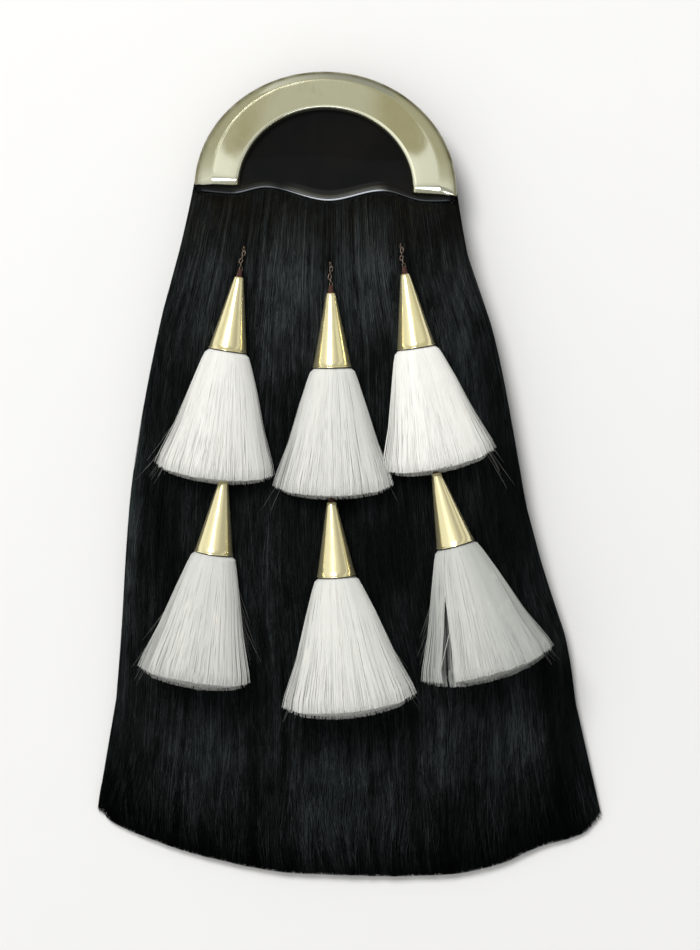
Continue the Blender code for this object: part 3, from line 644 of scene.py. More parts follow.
def loft(rings, tones=()):
    """A solid that is one ring's face pushed out through the others, with its first end closed again.

    tones are the shades of a ring's places, which a material can read.
    """
    bm = bmesh.new()
    tone = bm.verts.layers.float.new("tone")
    face = bm.faces.new([bm.verts.new(place) for place in rings[0]])
    for vert, shade in zip(face.verts, tones):
        vert[tone] = shade
    for ring in rings[1:]:
        face = bmesh.ops.extrude_discrete_faces(bm, faces=[face])["faces"][0]
        for vert, place in zip(face.verts, ring):
            vert.co = place
    bmesh.ops.holes_fill(bm, edges=[edge for edge in bm.edges if edge.is_boundary])
    bmesh.ops.recalc_face_normals(bm, faces=bm.faces)
    return bm


def spun_round(bm, geom, axis, steps):
    """Turns an outline all the way round an axis through the origin."""
    turn = 2 * math.pi
    bmesh.ops.spin(bm, geom=geom, cent=(0, 0, 0), axis=axis, angle=turn, steps=steps, use_merge=True)
    return tidy_form(bm)


def spun(profile, axis, steps):
    """A profile of places turned all the way round an axis through the origin."""
    bm = bmesh.new()
    verts = [bm.verts.new(place) for place in profile]
    edges = [bm.edges.new(pair) for pair in zip(verts, verts[1:])]
    return spun_round(bm, verts + edges, axis, steps)


def thicken_down(bm, z):
    """Gives a sheet walls and an underside that is flat at a height."""
    under = bmesh.ops.extrude_face_region(bm, geom=bm.faces[:], use_keep_orig=True)["geom"]
    for part in under:
        if isinstance(part, bmesh.types.BMVert):
            part.co.z = z


def join_in(bm, other):
    """Adds another form's mesh to a form."""
    mesh = bpy.data.meshes.new("joined")
    other.to_mesh(mesh)
    other.free()
    bm.from_mesh(mesh)
    bpy.data.meshes.remove(mesh)


def new_object(name, bm, materials, sharp_degrees):
    mesh = bpy.data.meshes.new(name)
    bm.to_mesh(mesh)
    bm.free()
    for material in materials:
        mesh.materials.append(material)
    mesh.shade_smooth()
    if sharp_degrees:
        mesh.set_sharp_from_angle(angle=math.radians(sharp_degrees))
    made = bpy.data.objects.new(name, mesh)
    bpy.context.scene.collection.objects.link(made)
    return made


def set_in(made, nodes):
    """Has a finished piece ride on the body, and hides the nodes that it stands for."""
    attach(made, BODY)
    if nodes:
        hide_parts(*nodes)
    return made


def add_piece(name, bm, materials, nodes=(), sharp_degrees=40.0):
    """Puts a form in the scene as a finished piece."""
    return set_in(new_object(name, bm, materials, sharp_degrees), nodes)


def round_edges(piece, width, degrees=50.0):
    """Rounds the edges of a piece at which it turns by more than some degrees."""
    edge = piece.modifiers.new("rounded_edges", "BEVEL")
    edge.width = width
    edge.segments = 3
    edge.limit_method = "ANGLE"
    edge.angle_limit = math.radians(degrees)


def cut_out(target, cutters, sharp_degrees):
    """Takes each cutter's shape out of a piece for good, and removes the cutters."""
    for cutter in cutters:
        modifier = target.modifiers.new("cut", "BOOLEAN")
        modifier.operation = "DIFFERENCE"
        modifier.solver = "EXACT"
        modifier.object = cutter
        with bpy.context.temp_override(object=target, active_object=target):
            bpy.ops.object.modifier_apply(modifier=modifier.name)
        bpy.data.objects.remove(cutter)
    target.data.shade_smooth()
    target.data.set_sharp_from_angle(angle=math.radians(sharp_degrees))


# Materials


class Recipe:
    """A material's nodes while they are put together."""

    def __init__(self, name, roughness=0.5, metallic=0.0, specular=0.5):
        self.material = bpy.data.materials.new(name)
        self.material.use_nodes = True
        self.nodes = self.material.node_tree.nodes
        self.links = self.material.node_tree.links
        self.shader = self.nodes["Principled BSDF"]
        self.set(Roughness=roughness, Metallic=metallic)
        self.shader.inputs["Specular IOR Level"].default_value = specular
        self.places = self.nodes.new("ShaderNodeTexCoord").outputs["Object"]

    def set(self, **values):
        for name, value in values.items():
            self.shader.inputs[name.replace("_", " ")].default_value = value

    def node(self, kind, vector=None, **values):
        """A new node, with what it reads as its vector and the values of its other sockets."""
        made = self.nodes.new("ShaderNode" + kind)
        if vector is not None:
            self.links.new(vector, made.inputs["Vector"])
        for name, value in values.items():
            made.inputs[name.replace("_", " ")].default_value = value
        return made

    def stretched(self, scale):
        """The piece's own coordinates in cells for each metre along X, Y and Z."""
        return self.node("Mapping", self.places, Scale=scale).outputs["Vector"]

    def noise(self, scale, detail=3.0, roughness=0.55, distortion=0.0):
        shape = {"Scale": 1.0, "Detail": detail, "Roughness": roughness, "Distortion": distortion}
        return self.node("TexNoise", self.stretched(scale), **shape).outputs["Fac"]

    def cells(self, scale, feature="F1"):
        node = self.node("TexVoronoi", self.stretched(scale), Scale=1.0)
        node.feature = feature
        return node.outputs["Distance"]

    def attribute(self, name):
        node = self.node("Attribute")
        node.attribute_name = name
        return node.outputs["Fac"]

    def along(self, axis):
        return self.node("SeparateXYZ", self.places).outputs[axis]

    def ranged(self, value, low, high, out_low, out_high):
        """A value's way from low to high, made a smooth way between two other numbers."""
        node = self.node("MapRange", From_Min=low, From_Max=high, To_Min=out_low, To_Max=out_high)
        node.interpolation_type = "SMOOTHSTEP"
        self.links.new(value, node.inputs["Value"])
        return node.outputs["Result"]

    def maths(self, operation, one, two=0.0):
        node = self.node("Math")
        node.operation = operation
        for socket, value in zip(node.inputs, (one, two)):
            if isinstance(value, float):
                socket.default_value = value
            else:
                self.links.new(value, socket)
        return node.outputs["Value"]

    def blend(self, share, one, two):
        """A colour between two colours, each one either fixed or from a node."""
        node = self.node("Mix")
        node.data_type = "RGBA"
        self.links.new(share, node.inputs[0])
        for socket, value in zip((node.inputs[6], node.inputs[7]), (one, two)):
            if isinstance(value, bpy.types.NodeSocket):
                self.links.new(value, socket)
            else:
                socket.default_value = (*value, 1.0)
        return node.outputs[2]

    def bump(self, height, distance, strength=1.0):
        """Adds relief over any relief that is there already."""
        node = self.node("Bump", Distance=distance, Strength=strength)
        self.links.new(height, node.inputs["Height"])
        socket = self.shader.inputs["Normal"]
        if socket.is_linked:
            self.links.new(socket.links[0].from_socket, node.inputs["Normal"])
        self.links.new(node.outputs["Normal"], socket)

    def drive(self, name, value):
        self.links.new(value, self.shader.inputs[name])

    def colour(self, value):
        self.drive("Base Color", value)

    def rough(self, value):
        self.drive("Roughness", value)


def polished_brass(metal, name, colour, dull=0.0, worn=0.0):
    """Pale polished brass with faint smears and stains, fine rubbing lines, and painted shade where its tone
    says so.

    The fourth argument adds stains all over, and worn gives a softer gloss, as on the cones, which have been
    handled.
    """
    recipe = Recipe(name, metallic=1.0 - worn)
    smears = recipe.noise((55, 55, 55), detail=5.0, distortion=0.6)
    rubbing = recipe.noise((900, 140, 900), detail=2.0)
    pits = recipe.noise((2600, 2600, 2600), detail=2.0)
    stain_and_shade = recipe.ranged(smears, 0.52, 0.80, dull, 0.22 + dull)
    patchy_shade = recipe.ranged(smears, 0.30, 0.62, 1.0, 0.72)
    # The tone, which only the cantle carries, is painted shade: dark reflection and shadow on its wall, bevel
    # and edges
    stain_and_shade = recipe.maths("MAXIMUM", stain_and_shade, recipe.maths("MULTIPLY", recipe.attribute("tone"), patchy_shade))
    recipe.colour(recipe.blend(stain_and_shade, colour, metal.tarnish_and_shade))
    film = recipe.ranged(smears, 0.35, 0.75, 0.075 + 0.5 * worn, 0.125 + 0.8 * worn)
    film = recipe.maths("ADD", film, recipe.ranged(rubbing, 0.4, 0.7, 0.0, 0.025))
    recipe.rough(recipe.maths("ADD", film, recipe.ranged(stain_and_shade, 0.2, 1.0, 0.0, 0.30)))
    recipe.bump(recipe.noise((70, 70, 70), detail=1.0), 0.00004, 0.5)
    recipe.bump(rubbing, 0.000004, 0.5)
    recipe.bump(pits, 0.000003, 0.5)
    return recipe.material


# Dark brass for the thin ring at each cone's mouth: a painted shadow where the hair comes out
def mouth_shadow_brass(metal):
    recipe = Recipe("mouth_shadow_brass", metallic=1.0, roughness=0.38)
    mottle = recipe.noise((700, 700, 700), detail=3.0)
    recipe.colour(recipe.blend(mottle, times(metal.tarnish_and_shade, 0.22), times(metal.tarnish_and_shade, 0.55)))
    recipe.bump(mottle, 0.00003, 0.6)
    return recipe.material


def aged_chain(metal):
    recipe = Recipe("aged_chain", metallic=1.0)
    age = recipe.noise((900, 900, 900), detail=3.0)
    worn = recipe.ranged(age, 0.35, 0.65, 0.0, 1.0)
    recipe.colour(recipe.blend(worn, times(metal.dark_iron, 0.35), metal.dark_iron))
    recipe.rough(recipe.ranged(age, 0.3, 0.7, 0.30, 0.55))
    recipe.bump(age, 0.00003, 0.5)
    return recipe.material


def knot_thread(metal):
    recipe = Recipe("knot_thread", roughness=0.75, specular=0.3)
    strands = recipe.noise((3200, 1200, 3200), detail=3.0)
    recipe.colour(recipe.blend(strands, times(metal.knot, 0.45), times(metal.knot, 1.7)))
    recipe.bump(strands, 0.00010, 0.9)
    return recipe.material


def patent_leather(leather):
    """Black lacquered leather: its gloss is its tone, over a faint swell, dust and hairline marks."""
    recipe = Recipe("patent_leather")
    recipe.set(Coat_Roughness=0.03, Coat_IOR=1.9)
    gloss = recipe.attribute("tone")
    recipe.drive("Coat Weight", gloss)
    recipe.drive("Specular IOR Level", recipe.maths("MULTIPLY", gloss, 0.6))
    swell = recipe.noise((34, 28, 34), detail=2.0, distortion=0.4)
    orange_peel = recipe.noise((620, 620, 620), detail=2.0)
    dust = recipe.cells((420, 420, 420))
    marks = recipe.noise((1500, 60, 900), detail=3.0)
    warm = [part * shade for part, shade in zip(leather.patent, (1.5, 1.35, 1.2))]
    recipe.colour(recipe.blend(recipe.ranged(swell, 0.35, 0.75, 0.0, 1.0), leather.patent, warm))
    film = recipe.ranged(swell, 0.3, 0.7, 0.05, 0.10)
    film = recipe.maths("ADD", film, recipe.ranged(dust, 0.0, 0.16, 0.12, 0.0))
    recipe.rough(recipe.maths("ADD", film, recipe.ranged(marks, 0.62, 0.80, 0.0, 0.06)))
    recipe.bump(swell, 0.0002, 0.3)
    recipe.bump(orange_peel, 0.000010, 0.5)
    return recipe.material


def grained_leather(leather):
    """Black bag leather: pebbled grain, fine creases, and rubbed, paler high places."""
    recipe = Recipe("grained_leather", specular=0.42)
    pebbles = recipe.cells((950, 950, 950), "SMOOTH_F1")
    creases = recipe.noise((300, 260, 300), detail=6.0, roughness=0.7, distortion=1.2)
    patches = recipe.noise((28, 28, 28), detail=3.0)
    rubbed = times(leather.hide, 2.3)
    dark = times(leather.hide, 0.62)
    base = recipe.blend(recipe.ranged(patches, 0.35, 0.7, 0.0, 1.0), dark, leather.hide)
    recipe.colour(recipe.blend(recipe.ranged(pebbles, 0.0, 0.35, 0.55, 0.0), base, rubbed))
    recipe.rough(recipe.ranged(patches, 0.3, 0.7, 0.42, 0.62))
    recipe.bump(recipe.ranged(pebbles, 0.05, 0.65, 1.0, 0.0), 0.00022, 0.6)
    recipe.bump(creases, 0.00020, 0.4)
    return recipe.material


def waxed_thread(leather):
    recipe = Recipe("waxed_thread", roughness=0.52, specular=0.45)
    twist = recipe.noise((2600, 2600, 2600), detail=2.0)
    recipe.colour(recipe.blend(twist, times(leather.thread, 0.5), times(leather.thread, 1.5)))
    recipe.bump(twist, 0.00008, 0.8)
    return recipe.material


def black_hair(hair, name, specular, shade=1.0):
    """Sleek black hair: each hair's own tone with painted sheen and shade in it, painted blue sheen patches,
    brown near the hem and a faint gloss.
    """
    recipe = Recipe(name)
    recipe.set(Specular_Tint=(0.80, 0.93, 1.0, 1.0))
    tone = recipe.attribute("tone")
    recipe.drive("Specular IOR Level", recipe.ranged(tone, 0.05, 0.8, 0.0, specular))
    dust = recipe.noise((170, 50, 170), detail=4.0)
    streaks = recipe.noise((1000, 90, 1000), detail=3.0)
    share = recipe.maths("MULTIPLY", tone, recipe.ranged(dust, 0.30, 0.70, 0.30, 1.55))
    share = recipe.maths("MULTIPLY", share, recipe.ranged(streaks, 0.3, 0.7, 0.40, 1.45))
    body = recipe.blend(share, times(hair.black, shade), times(hair.lighter, shade))
    # Painted sheen: patches where the hair turns towards the blue colour, stronger where its tone is high
    patches = recipe.ranged(recipe.noise((24, 9, 24), detail=3.0), 0.48, 0.66, 0.0, 0.55)
    shining = recipe.maths("MULTIPLY", tone, recipe.ranged(dust, 0.35, 0.65, 0.5, 1.6))
    shining = recipe.maths("MULTIPLY", patches, shining)
    body = recipe.blend(shining, body, times(hair.bluish_sheen, shade))
    near_hem = recipe.ranged(recipe.along("Y"), 0.096, 0.140, 0.0, 0.85)
    patchy = recipe.ranged(recipe.noise((140, 40, 140)), 0.30, 0.65, 0.25, 1.0)
    patchy = recipe.maths("MULTIPLY", near_hem, patchy)
    brown = recipe.blend(share, times(hair.brown, 0.35), hair.brown)
    recipe.colour(recipe.blend(patchy, body, brown))
    recipe.rough(recipe.ranged(dust, 0.3, 0.7, 0.36, 0.52))
    recipe.bump(streaks, 0.00012, 0.5)
    return recipe.material


def hair_bed(hair):
    """The mass under the single hairs: the same streaks and the painted sheen and shade of its tone,
    a little darker as painted shade under the hairs, combed in by bump.
    """
    recipe = Recipe("hair_bed", roughness=0.85, specular=0.0)
    tone = recipe.attribute("tone")
    streaks = recipe.noise((620, 30, 620), detail=4.0, distortion=0.4)
    share = recipe.maths("MULTIPLY", tone, recipe.ranged(streaks, 0.35, 0.65, 0.15, 0.8))
    recipe.colour(recipe.blend(share, times(hair.black, 0.7), hair.lighter))
    recipe.bump(streaks, 0.0007, 0.8)
    return recipe.material


def white_hair(tassels, name, low, high, shade=1.0):
    """White horsehair: each hair's own tone, with the tufts' painted shade in it, dusty streaks and a soft
    sheen.
    """
    recipe = Recipe(name, specular=0.0)
    tone = recipe.attribute("tone")
    streaks = recipe.noise((1900, 60, 1900), detail=3.0)
    dust = recipe.noise((150, 30, 150), detail=3.0)
    share = recipe.maths("MULTIPLY", tone, recipe.ranged(streaks, 0.25, 0.7, low, high))
    body = recipe.blend(share, times(tassels.grey, shade), times(tassels.white, shade))
    yellowed = times((0.78, 0.75, 0.66), shade)
    recipe.colour(recipe.blend(recipe.ranged(dust, 0.58, 0.90, 0.0, 0.4), body, yellowed))
    recipe.rough(recipe.ranged(streaks, 0.3, 0.7, 0.50, 0.68))
    recipe.bump(streaks, 0.00012, 0.5)
    return recipe.material


# Cantle


def cantle_ring(angle):
    """The cantle's section at one angle of the arch, lowered towards the end of a leg."""
    outer = Vector((CANTLE_OUTER[0] * math.cos(angle), CANTLE_OUTER[1] * math.sin(angle)))
    inner = Vector((CANTLE_INNER[0] * math.cos(angle), CANTLE_INNER[1] * math.sin(angle)))
    inward = (inner - outer).normalized()
    across = (inner - outer).length
    wall = CANTLE_WALL[-1]["inset"]
    bevel = mix(BEVEL_AT_LEG, BEVEL_AT_CROWN, math.sin(angle) ** BEVEL_EASE)
    edge = across - CANTLE_EDGE[0]["inset"]
    insets = [row["inset"] for row in CANTLE_WALL]
    insets += [mix(wall, bevel, row["share"]) for row in CANTLE_BEVEL]
    insets += [mix(bevel, edge, row["share"]) for row in CANTLE_FACE]
    insets += [across - row["inset"] for row in CANTLE_EDGE]
    height = END_HEIGHT.at(outer.y)
    ring = []
    for inset, row in zip(insets, CANTLE_SECTION):
        place = outer + inward * inset
        z = row["z"]
        if z > CANTLE_FOOT_Z:
            z = CANTLE_FOOT_Z + (z - CANTLE_FOOT_Z) * height
        ring.append(Vector((place.x, place.y + LEG_LINE_Y, z)))
    return ring


def make_cantle(metal):
    near_ends = [math.asin(row["from_end"] / CANTLE_OUTER[1]) for row in LEG_END]
    first = near_ends[-1]
    steps = [first + (math.pi - 2 * first) * n / CANTLE_STATIONS for n in range(1, CANTLE_STATIONS)]
    angles = near_ends + steps + [math.pi - angle for angle in reversed(near_ends)]
    # Each row's last column becomes the tone that the brass shows as painted shade
    bm = loft([cantle_ring(angle) for angle in angles], [row["dull"] for row in CANTLE_SECTION])
    brass = polished_brass(metal, "cantle_brass", metal.brass)
    cantle = add_piece("brass_cantle", bm, [brass], ["cantle"], 32.0)
    round_edges(cantle, CANTLE_ROUNDING)


# Patent leather front


def make_patent_front(leather):
    """The glossy front, which swells a little within the arch and rolls over along its wavy hem."""
    bm = bmesh.new()
    gloss = bm.verts.layers.float.new("tone")
    bmesh.ops.create_grid(bm, x_segments=PANEL_COLUMNS, y_segments=PANEL_ROWS, size=1.0)
    lip_rows = len(HEM_LIP)
    for vert in bm.verts:
        turn = vert.co.x * math.pi / 2
        row = round((vert.co.y + 1.0) / 2.0 * PANEL_ROWS)
        x = (PANEL_ARCH[0] + (LIP_OVERHANG if row < lip_rows else 0.0)) * math.sin(turn)
        top = PANEL_ARCH[1] * math.cos(turn)
        hem = HEM_Y.at(x)
        top = max(top, hem + HEM_LIP[-1]["from_hem"] + PANEL_LEAST_FACE)
        if row < lip_rows:
            from_hem = HEM_LIP[row]["from_hem"]
        else:
            up = (row - lip_rows + 1) / (PANEL_ROWS - lip_rows + 1)
            from_hem = mix(HEM_LIP[-1]["from_hem"], top - hem, up)
        y = hem + from_hem
        swell = PANEL_SWELL * noise.noise((x * 38.0, y * 46.0, 2.0)) * soft_step(0.002, 0.010, from_hem)
        rounded = soft_step(0.0, 1.0, (PANEL_ARCH[0] - abs(x)) / PANEL_END_ROUNDING)
        rise = LIP_RISE.at(from_hem) * rounded - PANEL_END_DROP * (1.0 - rounded)
        vert.co = (x, y + LEG_LINE_Y, PANEL_FACE_Z + rise + swell)
        vert[gloss] = mix(LIP_GLOSS.at(x), PANEL_GLOSS, soft_step(*PANEL_GLOSS_FROM, from_hem))
    thicken_down(bm, PANEL_UNDER_Z)
    tidy_form(bm)
    add_piece("patent_front", bm, [patent_leather(leather)], ["patent_panel"], 70.0)


# Leather pouch


def pouch_outline(inset):
    """The pouch's outline from the front, drawn in by an inset, anticlockwise from the right of the arch."""
    points = []
    for n in range(ARCH_STEPS + 1):
        angle = math.pi * n / ARCH_STEPS
        points.append((POUCH_ARCH[0] * math.cos(angle), POUCH_ARCH[1] * math.sin(angle)))
    left = [(-POUCH_HALF_WIDTH, POUCH_WAIST_Y)]
    centre = Vector((-POUCH_HALF_WIDTH + POUCH_CORNER, POUCH_END_Y + POUCH_CORNER))
    for n in range(CORNER_STEPS + 1):
        angle = math.pi + math.pi / 2 * n / CORNER_STEPS
        left.append((centre.x + POUCH_CORNER * math.cos(angle), centre.y + POUCH_CORNER * math.sin(angle)))
    points += left + [(-x, y) for x, y in reversed(left)]
    drawn_in = []
    for n, (x, y) in enumerate(points):
        before = Vector(points[n - 1])
        after = Vector(points[(n + 1) % len(points)])
        here = Vector((x, y))
        one, two = (here - before).normalized(), (after - here).normalized()
        inward = Vector((-one.y - two.y, one.x + two.x)).normalized()
        drawn_in.append(here + inward * inset / max(0.5, inward.dot(Vector((-one.y, one.x)))))
    return drawn_in


def back_rise(y):
    return BACK_STEP_Z * soft_step(BACK_STEP_END_Y, BACK_STEP_TOP_Y, y)


def pouch_form(inset, front_z, back_z):
    """The pouch's outer form, or with an inset its hollow, between two heights."""
    rings = []
    for row in POUCH_RINGS:
        z = mix(back_z, front_z, row["z"] / POUCH_FRONT_Z)
        rings.append([Vector((p.x, p.y, z)) for p in pouch_outline(row["inset"] + inset)])
    bm = loft(rings)
    for n in range(BACK_STEP_CUTS + 1):
        y = mix(BACK_STEP_END_Y, BACK_STEP_TOP_Y, n / BACK_STEP_CUTS)
        whole = bm.verts[:] + bm.edges[:] + bm.faces[:]
        bmesh.ops.bisect_plane(bm, geom=whole, dist=MERGE, plane_co=(0, y, 0), plane_no=(0, 1, 0))
    for vert in bm.verts:
        share = (vert.co.z - back_z) / (front_z - back_z)
        vert.co.z += back_rise(vert.co.y) * max(0.0, 1.0 - share)
    bmesh.ops.translate(bm, verts=bm.verts, vec=(0, LEG_LINE_Y, 0))
    return bm


def box_form(low, high):
    bm = bmesh.new()
    bmesh.ops.create_cube(bm, size=1.0)
    low, high = Vector(low), Vector(high)
    bmesh.ops.scale(bm, vec=high - low, verts=bm.verts)
    bmesh.ops.translate(bm, vec=(low + high) / 2, verts=bm.verts)
    return bm


def spaced_along(line, pitch):
    """Places a pitch apart along a line of points, each with the direction of the line there."""
    found = []
    left_over = pitch / 2
    for one, two in zip(line, line[1:]):
        ahead = two - one
        length = ahead.length
        if length == 0.0:
            continue
        ahead /= length
        while left_over <= length:
            found.append((one + ahead * left_over, ahead.copy()))
            left_over += pitch
        left_over -= length
    return found


def frame_along(place, ahead):
    """A matrix that puts +X along a direction, with +Z as near to up as it can be."""
    side = ahead.cross(UP).normalized()
    return Matrix.Translation(place) @ Matrix((ahead, side, side.cross(ahead))).transposed().to_4x4()


def add_stitches(bm, line, leather):
    """Lays thread stitches along a line of points on a face that looks down."""
    size = Matrix.Diagonal((leather.stitch_length / 2, *STITCH_SECTION, 1.0))
    tilt = Matrix.Rotation(math.radians(STITCH_TILT), 4, "Z")
    for place, ahead in spaced_along(line, leather.stitch_pitch):
        made = bmesh.ops.create_icosphere(bm, subdivisions=1, radius=1.0)
        bmesh.ops.transform(bm, matrix=frame_along(place, ahead) @ tilt @ size, verts=made["verts"])


def make_pouch(leather):
    """The leather bag: walls, the mouth in its back, a seam round the edge of the back and its stitches."""
    hide = grained_leather(leather)
    pouch = new_object("leather_pouch", pouch_form(0.0, POUCH_FRONT_Z, 0.0), [hide], 40.0)
    hollow = pouch_form(LEATHER_WALL, POUCH_FRONT_Z - LEATHER_WALL, LEATHER_WALL)
    low = (MOUTH[0][0], MOUTH[0][1] + LEG_LINE_Y, BACK_STEP_Z - CUTTER_REACH)
    high = (MOUTH[1][0], MOUTH[1][1] + LEG_LINE_Y, BACK_STEP_Z + LEATHER_WALL + CUTTER_REACH)
    forms = {"hollow": hollow, "mouth": box_form(low, high)}
    cut_out(pouch, [new_object(name, form, [hide], None) for name, form in forms.items()], 40.0)
    set_in(pouch, ["pouch"])

    seam = bmesh.new()
    outline = pouch_outline(POUCH_SEAM_INSET)
    closed = outline + outline[:1]
    line = [Vector((p.x, p.y + LEG_LINE_Y, back_rise(p.y) + THREAD_RISE)) for p in closed]
    add_stitches(seam, line, leather)
    add_stitches(seam, raised([Vector(end) for end in MOUTH_SEAM], BACK_STEP_Z + THREAD_RISE), leather)
    add_piece("pouch_stitches", seam, [waxed_thread(leather)], sharp_degrees=None)


def make_rear_flap(leather, metal):
    """The flap over the mouth, with a bevelled edge, a stitched border and its brass stud."""
    corners = []
    for side, start in ((-1, math.pi), (1, 1.5 * math.pi)):
        centre = Vector((side * (FLAP_HALF_WIDTH - FLAP_CORNER), FLAP_END_Y + FLAP_CORNER))
        for n in range(CORNER_STEPS + 1):
            angle = start + math.pi / 2 * n / CORNER_STEPS
            corners.append(centre + FLAP_CORNER * Vector((math.cos(angle), math.sin(angle))))
    outline = [Vector((-FLAP_HALF_WIDTH, FLAP_TOP_Y)), *corners, Vector((FLAP_HALF_WIDTH, FLAP_TOP_Y))]
    rings = [raised(outline, z) for z in (FLAP_LOW_Z, FLAP_HIGH_Z)]
    hide = grained_leather(leather)
    flap = add_piece("flap_leather", loft(rings), [hide], ["rear_flap"])
    round_edges(flap, FLAP_ROUNDING)

    seam = bmesh.new()
    middle = Vector((0.0, (FLAP_TOP_Y + FLAP_END_Y) / 2))
    drawn_in = []
    for p in outline + outline[:1]:
        x = p.x * (1.0 - FLAP_SEAM_INSET / FLAP_HALF_WIDTH)
        y = middle.y + (p.y - middle.y) * (1.0 - FLAP_SEAM_INSET / (FLAP_TOP_Y - middle.y))
        drawn_in.append(Vector((x, y)))
    add_stitches(seam, raised(drawn_in, FLAP_LOW_Z + THREAD_RISE), leather)
    add_piece("flap_stitches", seam, [waxed_thread(leather)], sharp_degrees=None)

    top = FLAP_LOW_Z - SEWN_GAP
    profile = [(0.0, 0.0)]
    profile += [(radius * STUD_RADIUS, drop * STUD_HEIGHT) for radius, drop in STUD_RIM]
    profile += [(radius * STUD_RADIUS, drop * (STUD_HEIGHT - SEWN_GAP)) for radius, drop in STUD_FACE]
    stud = spun([(radius, 0.0, -drop) for radius, drop in profile], (0, 0, 1), 64)
    bmesh.ops.translate(stud, verts=stud.verts, vec=(0, STUD_Y + LEG_LINE_Y, top))
    brass = polished_brass(metal, "stud_brass", metal.brass, 0.1)
    add_piece("brass_stud", stud, [brass], ["flap_stud"])


def make_strap_loops(leather):
    """The two belt loops: folded leather straps, sewn down at both feet."""
    half = LOOP_STRAP_WIDTH / 2
    seat = BACK_STEP_Z - SEWN_GAP
    foot = seat - LOOP_THICKNESS
    inner = seat - LOOP_STRAP_ROOM
    outer = inner - LOOP_THICKNESS
    riser = half + LOOP_THICKNESS
    right = [
        (half, seat),
        (riser + LOOP_FOOT, seat),
        (riser + LOOP_FOOT, foot),
        (riser + LOOP_FOLD, foot),
        (riser, foot - LOOP_FOLD),
        (riser, outer + 2 * LOOP_FOLD),
        (riser - 2 * LOOP_FOLD, outer),
    ]
    left = [(-y, z) for y, z in reversed(right)]
    outline = [(-half, inner), (half, inner), *right, *left]
    hide = grained_leather(leather)
    thread = waxed_thread(leather)
    centre_y = LOOP_CENTRE_Y + LEG_LINE_Y
    for name, x in (("left", -LOOP_X), ("right", LOOP_X)):
        sides = (x - LOOP_WIDTH / 2, x + LOOP_WIDTH / 2)
        rings = [[Vector((side, y + centre_y, z)) for y, z in outline] for side in sides]
        loop = add_piece(f"loop_leather_{name}", loft(rings), [hide], [f"strap_loop_{name}"])
        round_edges(loop, LOOP_ROUNDING, 35.0)
        seam = bmesh.new()
        for side in (-1, 1):
            y = centre_y + side * (riser + LOOP_FOOT * 0.62)
            line = [Vector((x + end * LOOP_WIDTH * 0.40, y, foot + THREAD_RISE)) for end in (-1, 1)]
            add_stitches(seam, line, leather)
        for end in (-1, 1):
            edge_x = x + end * LOOP_WIDTH * 0.38
            reach = half - LOOP_SEAM_END
            line = [Vector((edge_x, centre_y + side * reach, outer + THREAD_RISE)) for side in (-1, 1)]
            add_stitches(seam, line, leather)
        add_piece(f"loop_stitches_{name}", seam, [thread], sharp_degrees=None)


# Hair skirt


def hair_place(across, share):
    """The plan place at a share of the skirt's width and of its length, from the leg line."""
    x = mix(HAIR["left"].at(share), HAIR["right"].at(share), across)
    top = HEM_Y.at(mix(HAIR_ROWS[0]["left"], HAIR_ROWS[0]["right"], across)) - HEM_ROOM
    return x, mix(top, HAIR_END_Y.at(across), share)


def hair_height(across, share):
    """The height of the skirt's front, crowned from side to side."""
    crest = HAIR["crest"].at(share)
    rim = HAIR["rim"].at(share)
    square = HAIR["square"].at(share)
    from_middle = min(1.0, abs(2.0 * across - 1.0))
    return rim + (crest - rim) * (1.0 - from_middle**square) ** (1.0 / square)


def hair_front(x, y):
    """The height of the skirt's front over a plan place."""
    across, share = 0.5, 0.5
    for _ in range(SEARCH_STEPS):
        left, right = HAIR["left"].at(share), HAIR["right"].at(share)
        across = min(1.0, max(0.0, (x - left) / (right - left)))
        top, end = hair_place(across, 0.0)[1], hair_place(across, 1.0)[1]
        share = min(1.0, max(0.0, (y - top) / (end - top)))
    return hair_height(across, share)


def parting_at(across, share):
    """How deep a parting is at a place of the skirt, and how far it pushes hairs aside."""
    depth = 0.0
    push = 0.0
    for row in PARTINGS:
        centre = row["across"] + 0.004 * noise.noise((share * 3.0, row["across"] * 40.0, 2.0))
        off = (across - centre) / row["wide"]
        if abs(off) > 3.0:
            continue
        middle = (row["from"] + row["to"]) / 2
        along = 1.0 - min(1.0, abs(share - middle) / (row["to"] - middle))
        here = math.exp(-off * off) * soft_step(0.0, 0.5, along)
        depth += here
        push += row["wide"] * PARTING_PUSH * off * here
    return depth, push


def lock_dip(across, share):
    """How far the front dips between two locks: broad swells, locks, fine strands and partings."""
    dip = 0.0
    for row in LOCK_SIZES:
        dip += row["depth"] * (0.5 + noise.noise((across * row["across"], share * row["along"], row["draw"])))
    return soft_step(0.0, 0.08, share) * dip + PARTING_DEPTH * parting_at(across, share)[0]


def sheen_at(x, y, across, share):
    """The painted sheen and shade of the hair at a plan place from the leg line, with painted shade in
    partings.
    """
    light = PLAIN_SHEEN + UNEVEN_SHEEN * noise.noise((x * 60.0, y * 15.0, 3.0))
    for row in SHEEN:
        off = ((x - row["x"]) / row["wide"]) ** 2 + ((y - row["y"]) / row["long"]) ** 2
        if off < 9.0:
            light += row["lift"] * math.exp(-off)
    light *= 1.0 - 0.6 * min(1.0, parting_at(across, share)[0])
    return max(LEAST_SHEEN, light)


def drawn_place(across, share):
    """The plan place of a hair: a little closer in at its root, and flared out at the corners of the end."""
    x, y = hair_place(across, share)
    side = 2.0 * across - 1.0
    x -= ROOT_DRAW * side * (1.0 - soft_step(0.0, 0.05, share))
    x += CORNER_FLARE * math.copysign(abs(side) ** 9, side) * soft_step(0.80, 1.0, share) ** 2
    return x, y


def corner_cut(across):
    """How much shorter the skirt is towards each of its two lower corners."""
    left = max(0.0, 1.0 - across / CORNER_CUT_REACH)
    right = max(0.0, 1.0 - (1.0 - across) / CORNER_CUT_REACH)
    return CORNER_CUTS[0] * left**2 + CORNER_CUTS[1] * right**2


